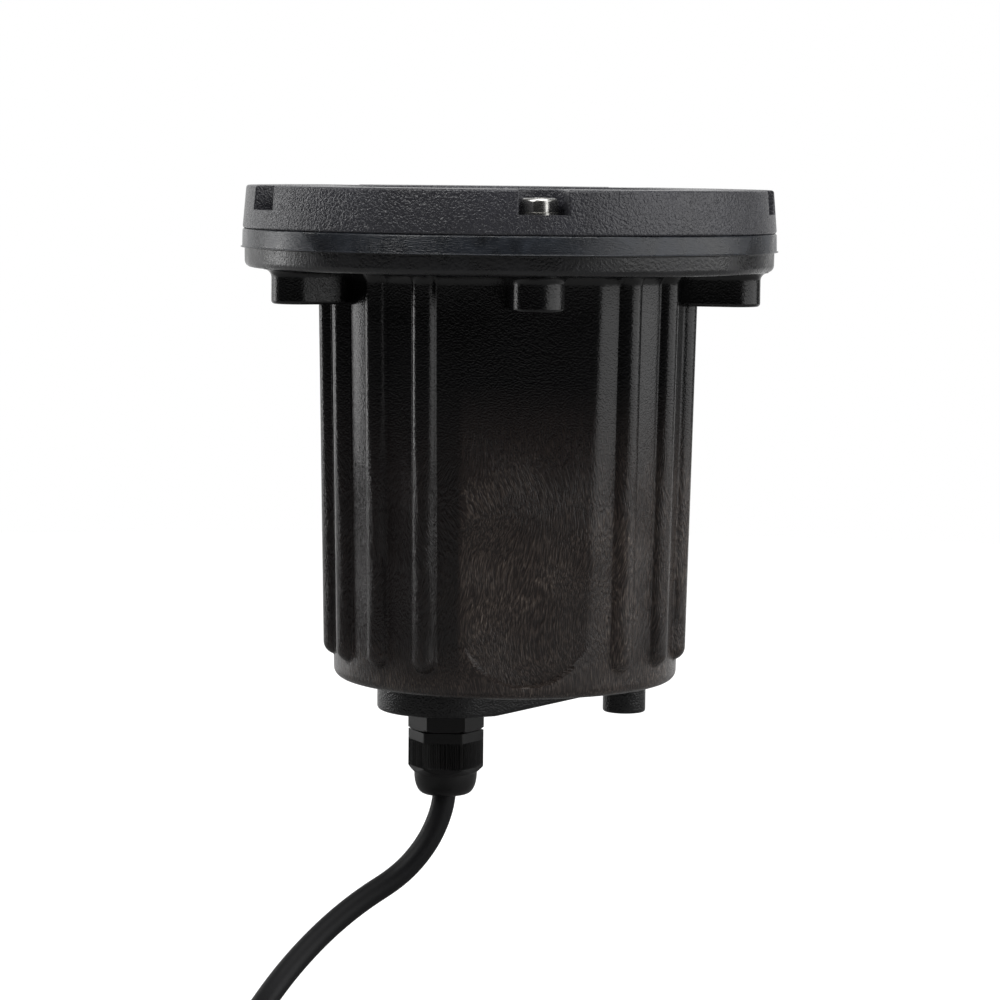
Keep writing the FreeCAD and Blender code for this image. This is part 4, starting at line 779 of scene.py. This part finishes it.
def build_bosses(composite):
    """Each boss is a U pushed out along a profile: a hollow round where it leaves the flange, a
    straight side and a rounded lower edge. It is turned into place about the axis."""
    side = BOSS_RAD
    inner = -PANEL_DIST + WALL_THICK / 2
    tip = -SCREW_CIRCLE - side
    bend = side - 0.01
    outline = [(-side, inner, 0), (-side, tip, bend), (side, tip, bend), (side, inner, 0)]
    sine, cosine = arc(90, 0)
    root = np.stack([BOSS_ROOT * (1 - cosine), -BOSS_ROOT * (1 - sine)], -1)
    turned = np.stack([-BOSS_EDGE * (1 - sine), BOSS_LOW + BOSS_EDGE * (1 - cosine)], -1)
    straight = [[0.0, BOSS_LOW + BOSS_EDGE]]
    profile = np.concatenate([[[BOSS_ROOT, BOSS_LET_IN]], root, straight, turned[::-1]])
    grid = pushed(rounded(outline, 18), profile)
    foot = np.array([0.0, -SCREW_CIRCLE + 6, 0.0])
    for i, turn in enumerate(SCREW_TURNS):
        made = skin(
            f"screw_boss_{i + 1}",
            around(grid, turn),
            "housing",
            composite,
            "housing_composite",
            first=around(foot + [0, 0, BOSS_LET_IN], turn),
            last=around(foot + [0, 0, BOSS_LOW], turn),
        )
        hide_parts("screw_bosses")


def build_pad(composite):
    """The swell under the floor: the outline round two circles, its side rounded over into an
    underside that is flat under the gland and rises along the nose."""
    lean = math.asin((PAD_RAD - PAD_TIP_RAD) / (PAD_TIP_X - PAD_X))
    open_angle = math.pi / 2 - lean
    front = np.linspace(-open_angle, open_angle, 15)
    back = np.linspace(open_angle, 2 * math.pi - open_angle, 60)
    tip = np.stack([PAD_TIP_X + PAD_TIP_RAD * np.cos(front), PAD_TIP_RAD * np.sin(front)], -1)
    disc = np.stack([PAD_X + PAD_RAD * np.cos(back), PAD_RAD * np.sin(back)], -1)
    share = np.linspace(0, 1, 14)[1:-1, None]
    outline = np.concatenate(
        [tip, tip[-1] + (disc[0] - tip[-1]) * share, disc, disc[-1] + (tip[0] - disc[-1]) * share]
    )
    sine, cosine = arc(0, 90, 6)
    rim = pushed(outline, np.stack([-PAD_EDGE * (1 - cosine), PAD_EDGE * (1 - sine)], -1))
    top = pushed(outline, np.array([[0.0, 0.0]]))
    hub = np.array([PAD_HUB_X, 0.0])
    inner = hub + (rim[-1:, :, :2] - hub) * np.linspace(0.92, 0.06, 8)[:, None, None]
    inner = np.concatenate([inner, np.zeros_like(inner[..., :1])], -1)
    grid = np.concatenate([top, rim, inner])
    grid[..., 2] += PAD_LOW + RAMP_SLOPE * np.clip(grid[..., 0] - RAMP_X, 0, None)
    grid[0, :, 2] = LET_UP
    made = skin(
        "gland_swell",
        grid,
        "housing",
        composite,
        "housing_composite",
        first=np.array([PAD_HUB_X, 0, LET_UP]),
        last=np.array([PAD_HUB_X, 0, PAD_LOW + RAMP_SLOPE * max(PAD_HUB_X - RAMP_X, 0)]),
    )
    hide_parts("gland_pad")


def build_stub(composite):
    """The stub, turned: a straight side let into the floor, with a rounded lower edge."""
    hole = 0.4
    profile = rounded(
        [
            (hole, LET_UP, 0),
            (hole, STUB_LOW, 0),
            (STUB_RAD, STUB_LOW, STUB_EDGE),
            (STUB_RAD, LET_UP, 0),
        ]
    )
    grid = turned_grid(profile, 96, STUB_X)
    made = skin("foot_stub_body", grid, "housing", composite, "housing_composite", tube=True)
    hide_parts("foot_stub")


def build_flange(face):
    """The flange, turned: a rounded lower edge, the thin lip at the parting line, and the seat for
    the carrier inside. Insert bores are cut from above."""
    low = RIM_RAD - RIM_STEP
    lip = RIM_RAD + FLASH_PROUD
    mouth = WALL_TOP_RAD - WALL_THICK
    profile = rounded(
        [
            (mouth, 0.0, 0.2),
            (low, 0.0, 2.2),
            (low + 0.1, FLASH_LOW, 0.2),
            (lip, FLASH_LOW + 0.2, 0.1),
            (lip, FLASH_HIGH - 0.2, 0.1),
            (RIM_RAD + 0.1, FLASH_HIGH, 0.2),
            (RIM_RAD, FLANGE_THICK, SEAM_EDGE),
            (SEAT_RAD, FLANGE_THICK, 0.4),
            (SEAT_RAD, LEDGE_HEIGHT, 0.3),
            (mouth, LEDGE_HEIGHT, 0.3),
        ]
    )
    grid = turned_grid(profile, 256)
    made = skin("flange_rim", grid, "housing", face, "housing_composite", tube=True)
    bore = np.array(
        [
            [FLANGE_BORE_RAD, -1.0],
            [FLANGE_BORE_RAD, INSERT_BORE_LOW],
            [INSERT_BORE_RAD, INSERT_BORE_LOW],
            [INSERT_BORE_RAD, FLANGE_THICK + 1],
        ]
    )
    cutters = []
    for turn in SCREW_TURNS:
        spot = around(np.array([0.0, -SCREW_CIRCLE, 0.0]), turn)
        grid = turned_grid(bore, 40, spot[0], spot[1])
        ends = [spot + [0, 0, z] for z in (bore[0, 1], bore[-1, 1])]
        cutters.append(skin("bore", grid, "housing", face, "housing_composite", *ends))
    subtract(made, cutters)
    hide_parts("housing_flange")


# ---------------------------------------------------------------- cover


def build_ring(coating):
    """The cover ring, turned, with five U pockets open to its side. A pocket's cutter widens at the
    top and at the ring's side, so the pocket's edges are left rounded."""
    profile = rounded(
        [
            (APERTURE_RAD, LIP_LOW, 0.3),
            (GASKET_SEAT, LIP_LOW, 0.2),
            (GASKET_SEAT, FLANGE_THICK, 0.3),
            (RIM_RAD, FLANGE_THICK, SEAM_EDGE),
            (RING_TOP_RAD, RING_TOP, RING_EDGE),
            (APERTURE_RAD, RING_TOP, APERTURE_EDGE),
        ],
        7,
    )
    grid = turned_grid(profile, 256)
    made = skin("ring_casting", grid, "cover", coating, "cover_coating", tube=True)
    half = POCKET_RAD
    outline = rounded(
        [
            (-half - 4, -RIM_RAD - 3, 0),
            (half + 4, -RIM_RAD - 3, 0),
            (half + 0.9, -RING_TOP_RAD - 0.35, 0),
            (half, -RING_TOP_RAD + 0.55, 0),
            (half, -SCREW_CIRCLE + half, half - 0.01),
            (-half, -SCREW_CIRCLE + half, half - 0.01),
            (-half, -RING_TOP_RAD + 0.55, 0),
            (-half - 0.9, -RING_TOP_RAD - 0.35, 0),
        ],
        16,
    )
    sine, cosine = arc(0, 90, 5)
    lip = np.stack([POCKET_EDGE * (1 - cosine), RING_TOP - POCKET_EDGE * (1 - sine)], -1)
    clear = [[POCKET_EDGE, RING_TOP + 2]]
    pocket = pushed(outline, np.concatenate([[[0.0, POCKET_FLOOR]], lip, clear]))
    hole = np.array([[PASS_RAD, FLANGE_THICK - 1], [PASS_RAD, POCKET_FLOOR + 1]])
    hub = np.array([0.0, -SCREW_CIRCLE, 0.0])
    cutters = []
    for turn in SCREW_TURNS:
        ends = [around(hub + [0, -7, z], turn) for z in (POCKET_FLOOR, RING_TOP + 2)]
        grid = around(pocket, turn)
        cutters.append(skin("pocket", grid, "cover", coating, "cover_coating", *ends))
        spot = around(hub, turn)
        ends = [spot + [0, 0, z] for z in hole[:, 1]]
        grid = turned_grid(hole, 40, spot[0], spot[1])
        cutters.append(skin("pass", grid, "cover", coating, "cover_coating", *ends))
    subtract(made, cutters)
    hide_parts("cover_ring")


def build_screws(steel):
    """Socket screws: a turned head with a rounded rim and a hexagon pressed into it."""
    profile = rounded(
        [
            (PIN_RAD, SHANK_LOW, 0),
            (SHANK_RAD, SHANK_LOW, SHANK_EDGE),
            (SHANK_RAD, HEAD_LOW, 0.1),
            (HEAD_RAD, HEAD_LOW, 0.25),
            (HEAD_RAD, HEAD_HIGH, HEAD_EDGE),
            (PIN_RAD, HEAD_HIGH, 0),
        ],
        8,
    )
    socket = np.array(
        [
            [KEY_RAD, HEAD_HIGH - KEY_DEPTH],
            [KEY_RAD, HEAD_HIGH - 0.25],
            [KEY_RIM_RAD, HEAD_HIGH + 0.2],
        ]
    )
    for i, turn in enumerate(SCREW_TURNS):
        spot = around(np.array([0.0, -SCREW_CIRCLE, 0.0]), turn)
        grid = turned_grid(profile, 64, spot[0], spot[1])
        made = skin(f"cover_screw_{i + 1}", grid, "cover", steel, "stainless", tube=True)
        ends = [spot + [0, 0, z] for z in (socket[0, 1], socket[-1, 1])]
        key = turned_grid(socket, 6, spot[0], spot[1])
        subtract(made, [skin("key", key, "cover", steel, "stainless", *ends)])
        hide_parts("cover_screws")


# ---------------------------------------------------------------- cable gland


def build_gland_body(nylon):
    """The gland's body: a round stem through the floor, a hexagon with both rims turned off, and
    the neck that the nut closes on."""
    angle = np.linspace(0, 2 * np.pi, 288, endpoint=False)[None]
    hexagon = HEX_FLATS / 2 / np.cos(fold(angle + HEX_TURN, 6))
    z = HEX_HIGH + (HEX_LOW - HEX_HIGH) * np.linspace(0, 1, 13)[:, None]
    rim = HEX_FLATS / 2 + 0.9 + 3.0 * np.minimum(HEX_HIGH + 0.6 - z, z - HEX_LOW)
    flats = smooth_least(hexagon, rim, 0.5)
    stem = np.full((3, angle.size), GLAND_STEM)
    stem[0] -= STEM_EDGE
    neck = np.full((4, angle.size), NECK_RAD)
    neck[-1] -= NECK_EDGE
    above = [STEM_TOP, STEM_TOP - STEM_EDGE, HEX_HIGH]
    below = [HEX_LOW, NECK_END + NECK_EDGE, NECK_END + NECK_EDGE / 2, NECK_END]
    heights = np.concatenate([above, z[:, 0], below])[:, None]
    made = skin(
        "gland_stem",
        polar(np.concatenate([stem, flats, neck]), angle, heights, PAD_X),
        "housing",
        nylon,
        "gland_nylon",
        first=np.array([PAD_X, 0, STEM_TOP]),
        last=np.array([PAD_X, 0, NECK_END]),
    )
    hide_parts("gland_body")


def build_gland_nut(nylon):
    """The clamping nut: a plain collar, six faces with fine upright ridges, corners turned off at
    45 degrees, and a smooth dome down to the cable. Ridges are a cosine wave along each face."""
    angle = np.linspace(0, 2 * np.pi, NUT_RIDGES * 6, endpoint=False)[None]
    away = fold(angle + NUT_TURN, 6)
    hexagon = NUT_FLATS / 2 / np.cos(away)
    face = NUT_FLATS * math.tan(math.pi / 6)
    ridge = NUT_FLATS / 2 * np.tan(away) / (face / (NUT_RIDGES / 6))
    wave = 0.5 - 0.5 * np.cos(2 * np.pi * ridge)
    ridge_high = NUT_HIGH - COLLAR
    z = np.concatenate(
        [
            np.linspace(NUT_HIGH, ridge_high, 5),
            np.linspace(ridge_high - RIDGE_GAP, RIDGE_LOW, 14),
            np.linspace(RIDGE_LOW - RIDGE_GAP, DOME_HIGH - 1.4, 10),
        ]
    )[:, None]
    depth = RIDGE_DEPTH * ((z < ridge_high - 0.1) & (z > RIDGE_LOW - 0.1))
    corner = np.minimum(NUT_CORNER, DOME_RAD + 1.05 * (z - DOME_HIGH) + 1.6)
    top = NUT_CORNER + 0.5 - 1.2 * np.clip(z - NUT_HIGH + 0.4, 0, None)
    sides = smooth_least(hexagon - depth * wave, np.minimum(corner, top), 0.35)
    sine, cosine = arc(0, 90, 14)
    bow = MOUTH_RAD + (DOME_RAD - MOUTH_RAD) * cosine**0.62
    dome_z = DOME_HIGH - 1.6 - (DOME_HIGH - 1.6 - NUT_END) * sine
    inner = [MOUTH_RAD - 0.6, MOUTH_RAD - 0.6, NECK_RAD + 0.15, NECK_RAD + 0.15]
    inner_z = [NUT_END + 0.5, NUT_END + 2.5, NUT_END + 7.5, NUT_HIGH]
    round_part = np.repeat(np.concatenate([bow, inner])[:, None], angle.size, 1)
    heights = np.concatenate([z[:, 0], dome_z, inner_z])[:, None]
    grid = polar(np.concatenate([sides, round_part]), angle, heights, PAD_X)
    made = skin("clamping_nut", grid, "housing", nylon, "gland_nylon", tube=True, crisp=30.0)
    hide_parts("gland_nut")


# ---------------------------------------------------------------- the whole light

photo_camera()
studio()
floor()

composite = moulded_composite()
flange_face = polished_flange()
coating = textured_coating()

# Bright with soft, slightly blurred glints.
stainless = metal("stainless steel, cold headed", "c9c8c4", (0.16, 0.34), 0.8)
# Warm yellow, with the fine blur that turning leaves.
brass = metal("brass, turned", "b08d4c", (0.2, 0.36), 0.6)
# Pale blue grey, its gloss in clouds of the plating, drawn 3 mm across so that they show.
galvanised = metal("steel, zinc plated", "b4b7bb", (0.26, 0.44), 3.0)
# Dull silver, a little pebbled by the die.
casting = metal("aluminium, die cast", "c4c6c8", (0.3, 0.5), 1.2, 0.03)
# Salmon pink and satin. Its grain is drawn 0.5 mm across, coarser than the real one, to show.
copper = metal("copper, drawn", "c47a55", (0.25, 0.4), 0.5)
# Warm silver, smoother than the steel.
nickel = metal("brass, nickel plated", "cfc9bb", (0.16, 0.3), 1.0)

# Matt black with a faint bloom and a slightly rough skin.
rubber = plain("cable sheath, extruded rubber", "09090b", "101013", (0.42, 0.58), 0.7, 0.03, 0.25)
# Soft dark grey without gloss.
gasket = plain("gasket, moulded silicone", "3a3d40", "484b4e", (0.5, 0.65), 0.6, 0.02)
# Deep black and satin, with faint clouds of glass at the skin.
nylon = plain("glass filled nylon, moulded", "060606", "0d0c0c", (0.3, 0.44), 0.9, 0.03, 0.3)
# Brown black, harder and glossier than nylon.
dark_cap = plain("phenolic, moulded", "1a1614", "2a2420", (0.28, 0.42), 1.5, 0.02)
# Cream white with a wet gloss that waves gently.
ceramic = plain("glazed porcelain", "e8e6df", "f1efe9", (0.12, 0.24), 6.0, 0.02)
# Milky off white, satin.
block_white = plain("polyamide, natural, moulded", "d8d6cc", "e4e2da", (0.34, 0.5), 1.2, 0.02)
# Even cool white with a printed, slightly satin skin.
board_white = plain(
    "circuit board, white solder mask", "e4e6e4", "eef0ee", (0.3, 0.45), 0.7, 0.01
)
# Brown and smooth, satin.
sleeve = plain("core insulation, extruded vinyl", "7a4a2c", "86543a", (0.36, 0.5), 0.8, 0.01)
# Near black with a dry, even satin.
tie = plain("cable tie, moulded nylon", "141414", "1e1e1e", (0.34, 0.48), 1.0, 0.02)
# Matt egg yellow over the light chips, unlit.
phosphor = plain("silicone with phosphor, cast", "d8b02a", "e6c446", (0.4, 0.55), 0.8, 0.01)

cable(rubber)
dress(composite, "housing_composite", "housing_pot", "screw_bosses", "gland_pad", "foot_stub")
dress(flange_face, "housing_composite", "housing_flange")
dress(coating, "cover_coating", "cover_ring")
dress(clear_glass(), "glass", "cover_glass")
dress(pressed_lens(), "lamp_lens", "lamp_lens")
dress(gasket, "gasket_rubber", "glass_gasket", "gland_seal", "gland_washer")
dress(stainless, "stainless", "cover_screws", "screw_washers", "carrier_snap_ring", "pivot_screws")
dress(stainless, "stainless", "pivot_washers", "lamp_retaining_ring", "block_screws")
dress(stainless, "stainless", "clamp_screws", "holder_screws")
dress(brass, "brass", "screw_inserts", "terminal_clamps", "holder_contact", "cap_contact")
dress(galvanised, "galvanised", "lamp_carrier", "gimbal_band", "holder_strap")
dress(casting, "lamp_casting", "lamp_body")
dress(board_white, "board", "lamp_board")
dress(phosphor, "phosphor", "lamp_emitter")
dress(nickel, "nickel", "lamp_cap", "holder_thread_sleeve")
dress(dark_cap, "dark_insulator", "cap_insulator")
dress(ceramic, "thermoset", "lampholder")
dress(nylon, "gland_nylon", "gland_body", "gland_locknut", "gland_nut")
dress(block_white, "block_plastic", "terminal_block")
dress(rubber, "cable_rubber", "inner_cable")
dress(sleeve, "core_sleeve", "inner_cores", "cable_cores")
dress(copper, "copper", "core_tips")
dress(tie, "tie_plastic", "coil_tie")
build_pot(composite)
build_bosses(composite)
build_pad(composite)
build_stub(composite)
build_flange(flange_face)
build_ring(coating)
build_screws(stainless)
build_gland_body(nylon)
build_gland_nut(nylon)
